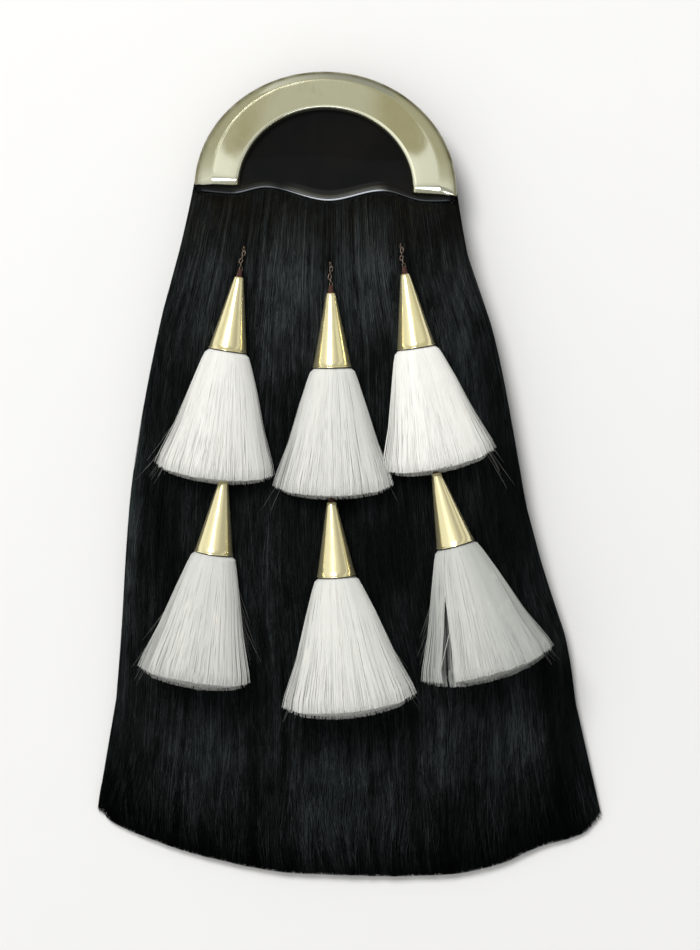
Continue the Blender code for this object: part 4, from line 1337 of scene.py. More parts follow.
def make_hair_bed(hair):
    """The solid mass of the skirt, just under the single hairs, with room for the pouch."""
    bm = bmesh.new()
    tone = bm.verts.layers.float.new("tone")
    bmesh.ops.create_grid(bm, x_segments=BED_COLUMNS, y_segments=BED_ROWS, size=1.0)
    for vert in bm.verts:
        across = 0.5 + 0.5 * math.sin(vert.co.x * math.pi / 2)
        share = (BED_END_SHARE - corner_cut(across)) * (0.5 - 0.5 * vert.co.y) ** 1.25
        x, y = drawn_place(across, share)
        x -= BED_INSET * (2.0 * across - 1.0) * soft_step(0.0, 0.03, share)
        y += BED_UNDER_LIP * (1.0 - soft_step(0.0, 0.004, share))
        z = hair_height(across, share) - BED_DEPTH - lock_dip(across, share)
        z *= 1.0 - BED_END_THIN * soft_step(BED_THIN_FROM, BED_END_SHARE + BED_THIN_PAST, share)
        # The tone is the painted sheen and shade, as on the single hairs
        vert[tone] = sheen_at(x, y, across, share)
        vert.co = (x, y + LEG_LINE_Y, z)
    thicken_down(bm, BED_UNDER_Z)
    bmesh.ops.recalc_face_normals(bm, faces=bm.faces)
    material = hair_bed(hair)
    bed = new_object("hair_bed", bm, [material], 60.0)
    outline = pouch_outline(-POUCH_ROOM)
    heights = (-CUTTER_REACH, POUCH_FRONT_Z + POUCH_ROOM)
    rings = [raised(outline, z) for z in heights]
    cut_out(bed, [new_object("pouch_room", loft(rings), [material], None)], 60.0)
    set_in(bed, ["hair_skirt"])


def hair_corners(turned):
    """The three corners of a hair's section, as shares of its radius to the side and upwards."""
    angles = [turned + 2 * math.pi * n / 3 for n in range(3)]
    return [(math.cos(angle), math.sin(angle)) for angle in angles]


EDGE_UP = hair_corners(0.0)
FLAT_UP = hair_corners(math.radians(30.0))


def hair_ring(strand, ring):
    """The three corners of a hair at one of its rings, thinner towards its tip."""
    x, y, z = strand["route"][ring]
    share = ring / (len(strand["route"]) - 1)
    radius = strand["radius"] * (1.0 - strand["taper"] * share**5)
    side_x, side_y = strand["side"]
    return [(x + side_x * c * radius, y + side_y * c * radius, z + s * radius) for c, s in strand["corners"]]


def grow_hairs(strands):
    """A mesh of thin three-sided hairs, each pushed out ring by ring along its own route."""
    bm = bmesh.new()
    number = bm.faces.layers.int.new("strand")
    tone = bm.verts.layers.float.new("tone")
    for n, strand in enumerate(strands):
        verts = [bm.verts.new(place) for place in hair_ring(strand, 0)]
        for vert in verts:
            vert[tone] = strand["tones"][0]
        face = bm.faces.new(verts)
        face[number] = n
    tips = bm.faces[:]
    for ring in range(1, max(len(strand["route"]) for strand in strands)):
        growing = [face for face in tips if len(strands[face[number]]["route"]) > ring]
        tips = bmesh.ops.extrude_discrete_faces(bm, faces=growing)["faces"]
        for face in tips:
            strand = strands[face[number]]
            for vert, place in zip(face.verts, hair_ring(strand, ring)):
                vert.co = place
                vert[tone] = strand["tones"][ring]
    bmesh.ops.holes_fill(bm, edges=[edge for edge in bm.edges if edge.is_boundary])
    bmesh.ops.recalc_face_normals(bm, faces=bm.faces)
    return bm


def make_strand(route, radius, tones, taper=0.5, corners=EDGE_UP):
    """A hair's route with its thickness, the tone of each ring and the way in which its section lies."""
    ahead = Vector(route[-1]) - Vector(route[0])
    side = Vector((-ahead.y, ahead.x)).normalized()
    tones = [min(1.0, max(0.0, tone)) for tone in tones]
    return {"route": route, "radius": radius, "side": (side.x, side.y), "tones": tones, "taper": taper,
            "corners": corners}


def skirt_strand(rng, hair, across, shares, depth, height_share=None, wavy=False):
    """One hair of the skirt through some shares of its length, a little way under the front.

    With height_share it lies at that share of the skirt's height, as the hairs of the edges and back do.
    A wavy one leans and sways on its own, and unless it reaches the end, both its ends sink away.
    """
    lock = math.floor(across * LOCKS_ACROSS + 0.8 * noise.noise((across * 21.0, 3.0, 1.0)))
    lock = (lock + 0.5) / LOCKS_ACROSS
    drift = rng.gauss(0.0, HAIR_DRIFT)
    lean = rng.gauss(0.0, WAVY_LEAN) if wavy else 0.0
    swing = rng.uniform(*WAVY_SWING) if wavy else SLEEK_SWING
    turns = rng.uniform(*WAVY_TURNS) if wavy else SLEEK_TURNS
    own_tone = 0.40 + 0.95 * rng.random() ** 2
    own_tone *= 1.0 + 1.1 * noise.noise((across * 64.0, 5.0, shares[0] * 4.0))
    sway = rng.uniform(0.0, 2 * math.pi)
    hidden = wavy and shares[-1] < 0.95
    route = []
    tones = []
    for n, share in enumerate(shares):
        gather = HAIR_GATHER * soft_step(0.10, 0.9, share)
        here = mix(across, lock, gather) + drift * share + lean * (share - shares[0])
        here += swing * math.sin(sway + turns * share) * (0.4 + 0.6 * share)
        for row in WANDERS:
            off = row["reach"] * noise.noise((here * row["across"], share * row["along"], row["draw"]))
            here += off * soft_step(row["from"], row["to"], share)
        here += parting_at(here, share)[1]
        here = min(1.0 - HAIR_SIDE_ROOM, max(HAIR_SIDE_ROOM, here))
        x, y = drawn_place(here, share)
        top = hair_height(here, share)
        if height_share is None:
            under = depth * (0.75 + 0.5 * math.sin(sway + 9.0 * share)) + lock_dip(here, share)
            under = mix(HAIR_ROOT_SINK + depth * 0.8, under, soft_step(0.0, 0.020, share))
            if hidden:
                under += HAIR_ROOT_SINK * abs(2.0 * n / (len(shares) - 1) - 1.0) ** 5
            z = (top - under) * (1.0 - HAIR_END_SINK * soft_step(0.955, 1.01, share))
        else:
            z = 0.00030 + (top - 0.00060) * height_share * (1.0 - 0.45 * soft_step(0.955, 1.01, share))
        route.append((x, y + LEG_LINE_Y, max(z, HAIR_FLOOR)))
        # Each ring's tone: the hair's own tone times the painted sheen and shade, with painted shade at the
        # very tip
        tones.append(own_tone * sheen_at(x, y, here, share) * (1.0 - 0.5 * soft_step(0.990, 1.0, share)))
    return make_strand(route, hair.radius * rng.uniform(0.75, 1.2), tones, 0.35)


def trimmed_end(rng, across):
    """How far down a hair reaches: an even trim that rounds off at both corners."""
    lock = noise.noise((across * 46.0, 31.0, 5.0))
    uneven = min(TRIM_LEAST, abs(rng.gauss(0.0, TRIM_UNEVEN)))
    return TRIM_SHARE - TRIM_BY_LOCK * lock - corner_cut(across) - uneven


def spread_out(start, end, rings, power=1.0):
    """Shares from a start to an end, one for each ring of a hair, closer at the start for a power over 1."""
    return [mix(start, end, (n / (rings - 1)) ** power) for n in range(rings)]


def long_strands(rng, hair):
    """Hairs that run from the hem to the trimmed end."""
    strands = []
    for _ in range(hair.long_count):
        across = rng.random()
        if rng.random() < 0.36:
            across = 0.5 + 0.5 * math.sin((rng.random() - 0.5) * math.pi)
        end = trimmed_end(rng, across)
        depth = LONG_HAIR_DEPTH[0] + LONG_HAIR_DEPTH[1] * rng.random() ** 1.4
        strands.append(skirt_strand(rng, hair, across, [end * share for share in LONG_HAIR_SHARES], depth))
    return strands


def short_strands(rng, hair):
    """Wavier hairs that come out from under the others and go under again, or reach the end."""
    strands = []
    for _ in range(hair.short_count):
        across = rng.random()
        start = rng.uniform(*SHORT_HAIR_START)
        end = min(trimmed_end(rng, across), start + rng.uniform(*SHORT_HAIR_LENGTH))
        start = max(0.0, start)
        shares = spread_out(start, end, SHORT_HAIR_RINGS)
        depth = SHORT_HAIR_DEPTH[0] + SHORT_HAIR_DEPTH[1] * rng.random()
        strands.append(skirt_strand(rng, hair, across, shares, depth, wavy=True))
    return strands


def edge_strands(rng, hair):
    """Hairs of the two side edges, and of the back where the pouch doesn't lie."""
    strands = []
    for n in range(hair.edge_count):
        if n % 2 == 0:
            side = rng.choice((0, 1))
            across = abs(side - abs(rng.gauss(0.0, 0.004)) - 0.001)
            start = rng.choice((0.0, 0.0, rng.uniform(0.0, 0.5)))
            end = trimmed_end(rng, across)
            shares = spread_out(start, end, EDGE_HAIR_RINGS, 1.3)
            strand = skirt_strand(rng, hair, across, shares, 0.0, rng.random() ** 0.8)
            if start == 0.0:
                out = rng.uniform(*EDGE_ROOT_X) * (2 * side - 1)
                up = rng.uniform(0.0, EDGE_ROOT_UP)
                strand["route"][0] = (out, LEG_LINE_Y + up, rng.uniform(*EDGE_ROOT_Z))
            strands.append(strand)
            continue
        across = rng.random()
        start = back_start(across)
        if start is None:
            continue
        start = mix(start, 0.9, 0.5 * rng.random())
        end = trimmed_end(rng, across)
        shares = spread_out(start, end, EDGE_HAIR_RINGS)
        strands.append(skirt_strand(rng, hair, across, shares, 0.0, 0.02 * rng.random()))
    return strands


def back_start(across):
    """The share of the skirt's length from which a hair on the back lies clear of the pouch."""
    start = None
    for n in range(BACK_SEARCH_STEPS, -1, -1):
        share = n / BACK_SEARCH_STEPS
        x, y = hair_place(across, share)
        if abs(x) < POUCH_HALF_WIDTH + BACK_SIDE_ROOM and y > POUCH_END_Y - BACK_ROOM:
            break
        start = share
    return start


def tip_strands(rng, hair):
    """Short hairs that fill the thickness of the trimmed end."""
    strands = []
    for _ in range(hair.tip_count):
        across = rng.random()
        start = rng.uniform(*TIP_HAIR_START)
        end = trimmed_end(rng, across)
        shares = spread_out(start, end, TIP_HAIR_RINGS)
        strands.append(skirt_strand(rng, hair, across, shares, 0.0, rng.random() ** 0.8))
    return strands


def make_skirt_hairs(hair):
    rng = random.Random(hair.seed)
    sleek = black_hair(hair, "black_horsehair", 0.15)
    # A darker copy of the black hair: painted shade for the hairs that fill the trimmed end
    shaded = black_hair(hair, "black_hair_ends", 0.05, 0.45)
    strands = long_strands(rng, hair) + short_strands(rng, hair)
    strands.sort(key=lambda strand: strand["route"][-1][0])
    third = len(strands) // 3
    groups = {"left": strands[:third], "middle": strands[third : 2 * third], "right": strands[2 * third :]}
    for name, group in groups.items():
        add_piece(f"front_hairs_{name}", grow_hairs(group), [sleek], sharp_degrees=None)
    around = grow_hairs(edge_strands(rng, hair))
    add_piece("edge_hairs", around, [sleek], sharp_degrees=None)
    tips = grow_hairs(tip_strands(rng, hair))
    add_piece("trimmed_hairs", tips, [shaded], sharp_degrees=None)


# Tassels


def lean_direction(degrees):
    angle = math.radians(degrees)
    return Vector((math.sin(angle), -math.cos(angle), 0.0))


def end_centre(node, direction, far):
    """The middle of a node's end ring, at its far or near end along a plan direction."""
    places = [vert.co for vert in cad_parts[node].data.vertices]
    along = [place.dot(direction) for place in places]
    limit = max(along) - 0.0004 if far else min(along) + 0.0004
    ends = [place for place, value in zip(places, along) if (value >= limit if far else value <= limit)]
    low = Vector([min(place[n] for place in ends) for n in range(3)])
    high = Vector([max(place[n] for place in ends) for n in range(3)])
    return (low + high) / 2


def frame_from(place, ahead):
    """A matrix that puts -Y along a direction, with +Z as near to up as it can be."""
    back = -ahead.normalized()
    side = back.cross(UP).normalized()
    up = side.cross(back)
    return Matrix.Translation(place) @ Matrix((side, back, up)).transposed().to_4x4()


class Tassel:
    """Where one tassel's cone and tuft lie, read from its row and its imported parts."""

    def __init__(self, row):
        self.name = row["name"]
        self.white = row["white"]
        self.greyer = row["greyer"]
        self.wide = row["wide"]
        self.tuft_ahead = lean_direction(row["tuft"])
        cone_ahead = lean_direction(row["cone"])
        tip = end_centre("cone_" + self.name, cone_ahead, False)
        mouth = end_centre("cone_" + self.name, cone_ahead, True)
        self.tip = Vector((row["x"], row["y"] + LEG_LINE_Y, tip.z))
        self.mouth = Vector((self.tip.x, self.tip.y, mouth.z)) + cone_ahead * CONE_LENGTH
        self.axis = (self.mouth - self.tip).normalized()
        self.mouth = self.tip + self.axis * CONE_LENGTH
        end = self.mouth + self.tuft_ahead * row["long"]
        end.z = end_centre("tuft_" + self.name, self.tuft_ahead, True).z
        self.length = (end - self.mouth).length
        self.neck_frame = frame_from(self.mouth, self.axis)
        self.fan_frame = frame_from(self.mouth, end - self.mouth)
        self.behind = TUFT_SHOULDER * self.length / (self.wide - TUFT_SHOULDER)

    def place(self, share, around, out, inset=0.0, slim=1.0, least=-1.0):
        """A place of the tuft: a share of its length, an angle around, and a share of the way out.

        slim makes it narrower without making it thinner, and least keeps it off its left side.
        """
        wide = TUFT_SHOULDER + (self.wide - TUFT_SHOULDER) * TUFT["spread"].at(share) - inset
        thick = TUFT_HALF_THICKNESS * TUFT["thick"].at(share) - inset
        bent = TUFT["bent"].at(share)
        reach = self.behind + self.length * share
        side = max(least, math.cos(around)) * out * slim
        if self.name == TUFT_SPLIT["tassel"]:
            side += self.split(side, share) * soft_step(-0.6, 0.3, math.sin(around))
        fan = math.asin(min(0.9, wide / reach)) * side
        level = self.length * share
        along = level + (reach * math.cos(fan) - self.behind - level) * bent
        spot = Vector((reach * math.sin(fan), -along, thick * math.sin(around) * out))
        if bent <= 0.0:
            return self.neck_frame @ spot
        if bent >= 1.0:
            return self.fan_frame @ spot
        return self.neck_frame.lerp(self.fan_frame, bent) @ spot

    def split(self, side, share):
        """How far a hair is drawn aside where this tuft has parted into two locks."""
        off = (side - TUFT_SPLIT["side"]) / TUFT_SPLIT["wide"]
        grown = soft_step(TUFT_SPLIT["from"], 0.95, share)
        return math.copysign(TUFT_SPLIT["gap"], off) * math.exp(-off * off) * grown

    def tone(self, side, share=0.0):
        """Its whiteness from -1 at its left to 1 at its right, less white to the right as painted shade, and
        at both edges partly as painted shade, partly where thin hairs lie over black ones. A parted lock is
        greyer further down.
        """
        shade = noise.noise((side * 4.5, self.white * 31.0, 3.0)) * 0.09
        if self.name == TUFT_SPLIT["tassel"] and side < TUFT_SPLIT["side"]:
            shade -= TUFT_LOCK_GREY * soft_step(0.12, 0.60, share)
        return self.white + shade - self.greyer * soft_step(-0.2, 1.0, side) - TUFT_SIDE_GREY * abs(side) ** 4

    def root(self, around, out):
        """A place inside the cone's mouth, from which a hair comes."""
        radius = (CONE_MOUTH_RADIUS - CONE_WALL) * TUFT_ROOT_SHARE * out
        x, z = radius * math.cos(around), radius * math.sin(around)
        return self.neck_frame @ Vector((x, TUFT_ROOT_DEPTH, z))


def make_cones(tassels, metal):
    """The brass cones: a spun sheet with a rolled mouth, whose last thin ring is a painted shadow of the
    hair.
    """
    brass = polished_brass(metal, "cone_brass", metal.cone, 0.02, 0.15)
    dark = mouth_shadow_brass(metal)
    slope = (CONE_MOUTH_RADIUS - CONE_TIP_RADIUS) / CONE_LENGTH
    outside = [(CONE_TIP_RADIUS - CONE_WALL, 0.0), (CONE_TIP_RADIUS - 0.0003, 0.0), (CONE_TIP_RADIUS, 0.0003)]
    outside += [(CONE_TIP_RADIUS + slope * along, along) for along in (0.002, 0.010, 0.020, 0.030, 0.040)]
    mouth = [(CONE_MOUTH_RADIUS - slope * CONE_ROLL_FROM, CONE_LENGTH - CONE_ROLL_FROM)]
    mouth += [(CONE_MOUTH_RADIUS + out, CONE_LENGTH - from_mouth) for out, from_mouth in CONE_ROLL]
    mouth.append((CONE_MOUTH_RADIUS - CONE_WALL, CONE_LENGTH))
    inside = [(CONE_MOUTH_RADIUS - CONE_WALL - slope * 0.02, CONE_LENGTH - 0.02), outside[0]]
    profile = [(radius, -along, 0.0) for radius, along in outside + mouth + inside]
    for tassel in tassels:
        bm = spun(profile, (0, 1, 0), CONE_SIDES)
        for face in bm.faces:
            if face.calc_center_median().y < -CONE_LENGTH + CONE_DARK_MOUTH:
                face.material_index = 1
        bmesh.ops.transform(bm, matrix=frame_from(tassel.tip, tassel.axis), verts=bm.verts)
        add_piece(f"brass_cone_{tassel.name}", bm, [brass, dark], [f"cone_{tassel.name}"], 40.0)


def wire_ring(radius, wire, sides, steps):
    """A closed ring of wire round Z."""
    bm = bmesh.new()
    made = bmesh.ops.create_circle(bm, segments=sides, radius=wire)
    bmesh.ops.rotate(bm, verts=made["verts"], cent=(0, 0, 0), matrix=Matrix.Rotation(math.pi / 2, 3, "X"))
    bmesh.ops.translate(bm, verts=made["verts"], vec=(radius, 0, 0))
    return spun_round(bm, made["verts"] + bm.edges[:], (0, 0, 1), steps)


def link_form():
    """One link of the chain, a ring of wire drawn out along X."""
    bm = wire_ring(LINK_RADIUS, LINK_WIRE, 7, 18)
    for vert in bm.verts:
        vert.co.x += math.copysign(LINK_STRETCH, vert.co.x) if abs(vert.co.x) > MERGE else 0.0
    return bm


def chain_line(tassel):
    """The chain's way from inside the hair, out over it and down to the cone's tip."""
    ahead = Vector((tassel.axis.x, tassel.axis.y, 0.0)).normalized()
    anchor = Vector((tassel.tip.x, tassel.tip.y, 0.0)) - ahead * CHAIN_LENGTH
    side = Vector((-ahead.y, ahead.x, 0.0))
    points = []
    for row in CHAIN_WAY:
        place = anchor + ahead * row["along"] + side * row["sway"]
        place.z = hair_front(place.x, place.y - LEG_LINE_Y) + row["rise"]
        points.append(place)
    points.append(tassel.tip - tassel.axis * 0.0004)
    return points


def make_chains(tassels, metal):
    """Twisted chains of small links, each bound with thread where it meets its cone."""
    iron = aged_chain(metal)
    thread = knot_thread(metal)
    pitch = 2 * (LINK_RADIUS + LINK_STRETCH - LINK_WIRE) * 0.98
    for tassel in tassels:
        bm = bmesh.new()
        for n, (place, ahead) in enumerate(spaced_along(chain_line(tassel), pitch)):
            link = link_form()
            roll = Matrix.Rotation(math.radians(35.0 + 90.0 * (n % 2) + 11.0 * n), 4, "X")
            bmesh.ops.transform(link, matrix=frame_along(place, ahead) @ roll, verts=link.verts)
            join_in(bm, link)
        for n in range(KNOT_TURNS):
            ring = wire_ring(mix(*KNOT_RADII, n / (KNOT_TURNS - 1)), KNOT_WIRE, 8, 16)
            for face in ring.faces:
                face.material_index = 1
            tilt = Matrix.Rotation(math.radians(8.0 if n % 2 else -7.0), 4, "X")
            place = tassel.tip - tassel.axis * (0.0001 + n * KNOT_WIRE * 1.45)
            turn = frame_from(place, tassel.axis) @ Matrix.Rotation(math.pi / 2, 4, "X")
            bmesh.ops.transform(ring, matrix=turn @ tilt, verts=ring.verts)
            join_in(bm, ring)
        add_piece(f"chain_links_{tassel.name}", bm, [iron, thread], [f"chain_{tassel.name}"], None)


def make_tuft_core(tassel, material):
    """The mass of a tuft under its single hairs, with a rounded end."""
    turns = [2 * math.pi * n / TUFT_CORE_SIDES for n in range(TUFT_CORE_SIDES)]
    rings = [[tassel.root(around, 0.9) for around in turns]]
    shares = [(share, 1.0) for share in TUFT_CORE_SHARES] + list(TUFT_CORE_END)
    for share, out in shares:
        ring = []
        slim = 1.0 - 0.10 * soft_step(0.15, 0.9, share)
        least = -1.0
        if tassel.name == TUFT_SPLIT["tassel"]:
            least = mix(-1.0, TUFT_SPLIT["side"] + 0.16, soft_step(TUFT_SPLIT["from"] - 0.25, 0.75, share))
        for around in turns:
            uneven = noise.noise((math.cos(around) * 7.0, math.sin(around) * 3.0, share * 2.0))
            ripple = 1.0 + TUFT_CORE_RIPPLE * uneven
            ring.append(tassel.place(share, around, ripple * out, TUFT_CORE_INSET, slim, least))
        rings.append(ring)
    # The core's tones carry the painted shade of the tuft's right side and edges
    bm = loft(rings, [tassel.tone(math.cos(around)) for around in turns])
    add_piece(f"tuft_core_{tassel.name}", bm, [material], [f"tuft_{tassel.name}"], None)


def tuft_strand(rng, sizes, tassel, side, above, out, shares, wispy=False):
    """One hair of a tuft, at a place from side to side, gathered towards its lock near the cut end."""
    around = math.acos(side) * (1.0 if above else -1.0)
    lock = math.floor(around / (2 * math.pi) * TUFT_LOCKS + 0.9 * rng.random())
    lock = (lock + 0.5) / TUFT_LOCKS * 2 * math.pi
    drift = rng.gauss(0.0, 0.035)
    lift = rng.gauss(0.0, 0.007)
    slim = 1.0
    if wispy:
        slim = rng.uniform(1.00, 1.10)
    sway = rng.uniform(0.0, 2 * math.pi)
    route = []
    if shares[0] < 0.5:
        route.append(tuple(tassel.root(around, 0.93 * out)))
    for share in shares:
        here = mix(around, lock, TUFT_GATHER * soft_step(0.25, 1.0, share))
        here += (drift + TUFT_SWAY * math.sin(sway + 5.0 * share)) * soft_step(0.0, 0.7, share)
        reach = out * (1.0 + lift * share * share)
        route.append(tuple(tassel.place(share, here, reach, TUFT_SURFACE, mix(1.0, slim, share))))
    own_tone = rng.uniform(0.93, 1.05)
    greyer = 0.14 if rng.random() < 0.04 else 0.0
    radius = sizes.radius * rng.uniform(0.75, 1.15)
    if wispy:
        radius *= 0.6
        own_tone *= 0.8
    # Each ring's tone carries the painted shade of the tuft's right side and edges
    tones = [tassel.tone(side, share) * own_tone - greyer for share in shares]
    tones = [tones[0]] * (len(route) - len(shares)) + tones
    # The last ring is darker: painted shade under the rounded cut end
    tones[-1] *= rng.uniform(0.45, 1.0)
    return make_strand(route, radius, tones, 0.40, FLAT_UP)


def cut_end(rng, side, above, out):
    """How far a tuft's hair reaches: past those above it, and less far at the sides, so the end is round."""
    height = out * math.sqrt(1.0 - side * side)
    low = 0.5 - 0.5 * (height if above else -height)
    uneven = min(TUFT_END_LEAST, abs(rng.gauss(0.0, TUFT_END_UNEVEN)))
    return mix(*TUFT_END, low) - uneven - TUFT_END_ROUNDING * abs(side) ** 10


def make_tuft_hairs(tassel, sizes, rng, material):
    strands = []
    for n in range(sizes.count):
        side = rng.uniform(-0.999, 0.999)
        if abs(side) > 0.9 and rng.random() < 0.4:
            side *= 0.8
        if tassel.name == TUFT_SPLIT["tassel"] and side < TUFT_SPLIT["side"] and rng.random() < 0.50:
            side *= -0.5
        above = rng.random() < 0.68
        out = 1.0 - 0.06 * rng.random() ** 1.5
        wispy = n % 12 == 0
        if wispy:
            side = math.copysign(rng.uniform(0.90, 0.999), side)
            out = 1.0
        end = cut_end(rng, side, above, out) + 0.006 * noise.noise((side * 7.0, 1.0, tassel.white * 9.0))
        shares = [share * end for share in TUFT_HAIR_SHARES]
        strands.append(tuft_strand(rng, sizes, tassel, side, above, out, shares, wispy))
    for _ in range(sizes.end_count):
        side = rng.uniform(-0.97, 0.97)
        above = rng.random() < 0.6
        out = rng.random() ** 0.5 * 0.97
        end = cut_end(rng, side, above, out)
        strands.append(tuft_strand(rng, sizes, tassel, side, above, out, (0.88, 0.94, end)))
    add_piece(f"tuft_hairs_{tassel.name}", grow_hairs(strands), [material], sharp_degrees=60.0)


def make_strays(tassels, sizes, rng, material):
    """Single white hairs that have left their tuft and lie on the black ones."""
    strands = []
    rings = STRAY_RINGS
    for row in STRAYS:
        tassel = next(one for one in tassels if one.name == row["tassel"])
        for _ in range(row["count"]):
            share = min(0.93, max(0.10, row["share"] + rng.gauss(0.0, 0.10)))
            around = 0.0 if row["side"] > 0 else math.pi
            around += row["side"] * rng.uniform(-0.45, 0.15)
            start = tassel.place(share, around, 0.93)
            edge = tassel.place(share + 0.02, around, 0.93) - start
            turn = math.radians(row["side"] * max(1.5, row["turn"] * rng.uniform(0.35, 1.25)))
            heading = Vector((edge.x, edge.y)).normalized()
            long = row["long"] * rng.uniform(0.6, 1.1)
            bend = math.radians(rng.gauss(0.0, 5.0))
            route = []
            place = Vector((start.x, start.y))
            z = start.z
            for n in range(rings):
                t = n / (rings - 1)
                ground = hair_front(place.x, place.y - LEG_LINE_Y) + STRAY_RISE
                z = max(ground, mix(start.z, ground, soft_step(0.0, 0.75, t)))
                route.append((place.x, place.y, z))
                angle = turn * soft_step(-0.3, 0.5, t) + bend * t
                step = Matrix.Rotation(angle, 2) @ heading
                place = place + step * long / (rings - 1)
            tones = [rng.uniform(0.0, 0.6)] * rings
            strands.append(make_strand(route, sizes.radius * rng.uniform(0.45, 0.65), tones))
    add_piece("loose_white_hairs", grow_hairs(strands), [material], sharp_degrees=None)


# Studio


def mirrored(point, height):
    """Where a place on the cantle's face is seen mirrored at a height over it."""
    grow = (CAMERA_Z - MIRROR_Z + height - MIRROR_Z) / (CAMERA_Z - MIRROR_Z)
    x = PICTURE_CENTRE[0] + (point[0] - PICTURE_CENTRE[0]) * grow
    y = PICTURE_CENTRE[1] + (point[1] + LEG_LINE_Y - PICTURE_CENTRE[1]) * grow
    return x, y, height


def card_material(name, shade, other, low_y=None):
    """A matte card that gives off the light which it would throw back, with another shade towards its sides.

    With low_y the other shade is towards its lower end instead.
    """
    recipe = Recipe(name, specular=0.0)
    recipe.set(Base_Color=(0.0, 0.0, 0.0, 1.0), Emission_Strength=1.0)
    from_middle = recipe.maths("ABSOLUTE", recipe.maths("ADD", recipe.along("X"), 0.008))
    uneven = recipe.ranged(recipe.noise((20, 12, 20), detail=2.0), 0.35, 0.70, -0.35, 0.35)
    part = recipe.maths("ADD", recipe.ranged(from_middle, 0.016, 0.050, 0.0, 1.0), uneven)
    if low_y is not None:
        part = recipe.ranged(recipe.along("Y"), low_y, low_y + 0.13, 1.0, 0.0)
    recipe.drive("Emission Color", recipe.blend(part, shade, other))
    return recipe.material


def add_card(name, bm, height, material):
    """A studio card that only shows as a reflection. Its form is drawn where the cantle mirrors it."""
    for vert in bm.verts:
        vert.co = mirrored(vert.co, height)
    card = new_object(name, bm, [material], None)
    card.visible_camera = False
    card.visible_diffuse = False
    card.visible_shadow = False


def sheet_form(low, high, corner):
    """A flat sheet between two corners, with its own corners rounded."""
    bm = bmesh.new()
    bmesh.ops.create_grid(bm, x_segments=1, y_segments=1, size=0.5)
    bmesh.ops.scale(bm, vec=(high[0] - low[0], high[1] - low[1], 1.0), verts=bm.verts)
    how = {"offset_type": "OFFSET", "segments": 10, "profile": 0.5, "affect": "VERTICES", "material": -1}
    bmesh.ops.bevel(bm, geom=bm.verts[:], offset=corner, **how)
    bmesh.ops.translate(bm, verts=bm.verts, vec=((low[0] + high[0]) / 2, (low[1] + high[1]) / 2, 0.0))
    return bm


def make_cards():
    """Cards that the polished pieces mirror: a tan one over the cantle and an olive one around it."""
    tan = card_material("tan_card", (0.550, 0.540, 0.465), (0.415, 0.385, 0.265))
    olive = card_material("olive_card", (0.46, 0.45, 0.35), (0.78, 0.78, 0.74), LEG_LINE_Y - 0.040)
    crown = sheet_form(*CROWN_CARD, CROWN_CARD_CORNER)
    turn = Matrix.Rotation(PICTURE_TURN, 3, "Z")
    bmesh.ops.rotate(crown, verts=crown.verts, cent=CROWN_CARD_PIVOT, matrix=turn)
    add_card("crown_card", crown, CARD_Z - CROWN_CARD_GAP, tan)
    around = bmesh.new()
    bmesh.ops.create_circle(around, segments=64, radius=OUTER_CARD[0])
    reach = bmesh.ops.extrude_edge_only(around, edges=around.edges[:])["geom"]
    for part in reach:
        if isinstance(part, bmesh.types.BMVert):
            part.co *= OUTER_CARD[1] / OUTER_CARD[0]
    low = [vert for vert in around.verts if vert.co.y < -0.55 * vert.co.length]
    bmesh.ops.delete(around, geom=low, context="VERTS")
    add_card("outer_card", around, CARD_Z, olive)


def add_lamp(name, row, power):
    light = bpy.data.lights.new(name, "AREA")
    light.shape = "ELLIPSE"
    light.size, light.size_y = row["size"]
    light.energy = power
    light.color = row["colour"]
    lamp = bpy.data.objects.new(name, light)
    bpy.context.scene.collection.objects.link(lamp)
    lamp.location = row["place"]
    lamp.rotation_euler = (Vector(row["target"]) - Vector(row["place"])).to_track_quat("-Z", "Y").to_euler()
    lamp.visible_camera = False
    return lamp


def make_world(studio):
    """A white dome, brightest overhead, that darkens towards the horizon and to the right."""
    world = bpy.data.worlds.new("studio_dome")
    world.use_nodes = True
    nodes, links = world.node_tree.nodes, world.node_tree.links
    background = nodes["Background"]
    places = nodes.new("ShaderNodeTexCoord")
    parts = nodes.new("ShaderNodeSeparateXYZ")
    links.new(places.outputs["Generated"], parts.inputs["Vector"])
    shades = []
    for axis, stops in (("Z", DOME_BY_HEIGHT), ("X", DOME_BY_SIDE)):
        ramp = nodes.new("ShaderNodeValToRGB")
        elements = ramp.color_ramp.elements
        while len(elements) < len(stops):
            elements.new(0.5)
        for element, (position, value) in zip(elements, stops):
            element.position = position
            element.color = (value, value, value * 0.99, 1.0)
        shift = nodes.new("ShaderNodeMapRange")
        shift.inputs["From Min"].default_value = -1.0
        links.new(parts.outputs[axis], shift.inputs["Value"])
        links.new(shift.outputs["Result"], ramp.inputs["Fac"])
        shades.append(ramp.outputs["Color"])
    both = nodes.new("ShaderNodeMix")
    both.data_type = "RGBA"
    both.blend_type = "MULTIPLY"
    both.inputs[0].default_value = 1.0
    links.new(shades[0], both.inputs[6])
    links.new(shades[1], both.inputs[7])
    links.new(both.outputs[2], background.inputs["Color"])
    background.inputs["Strength"].default_value = studio.dome
    bpy.context.scene.world = world


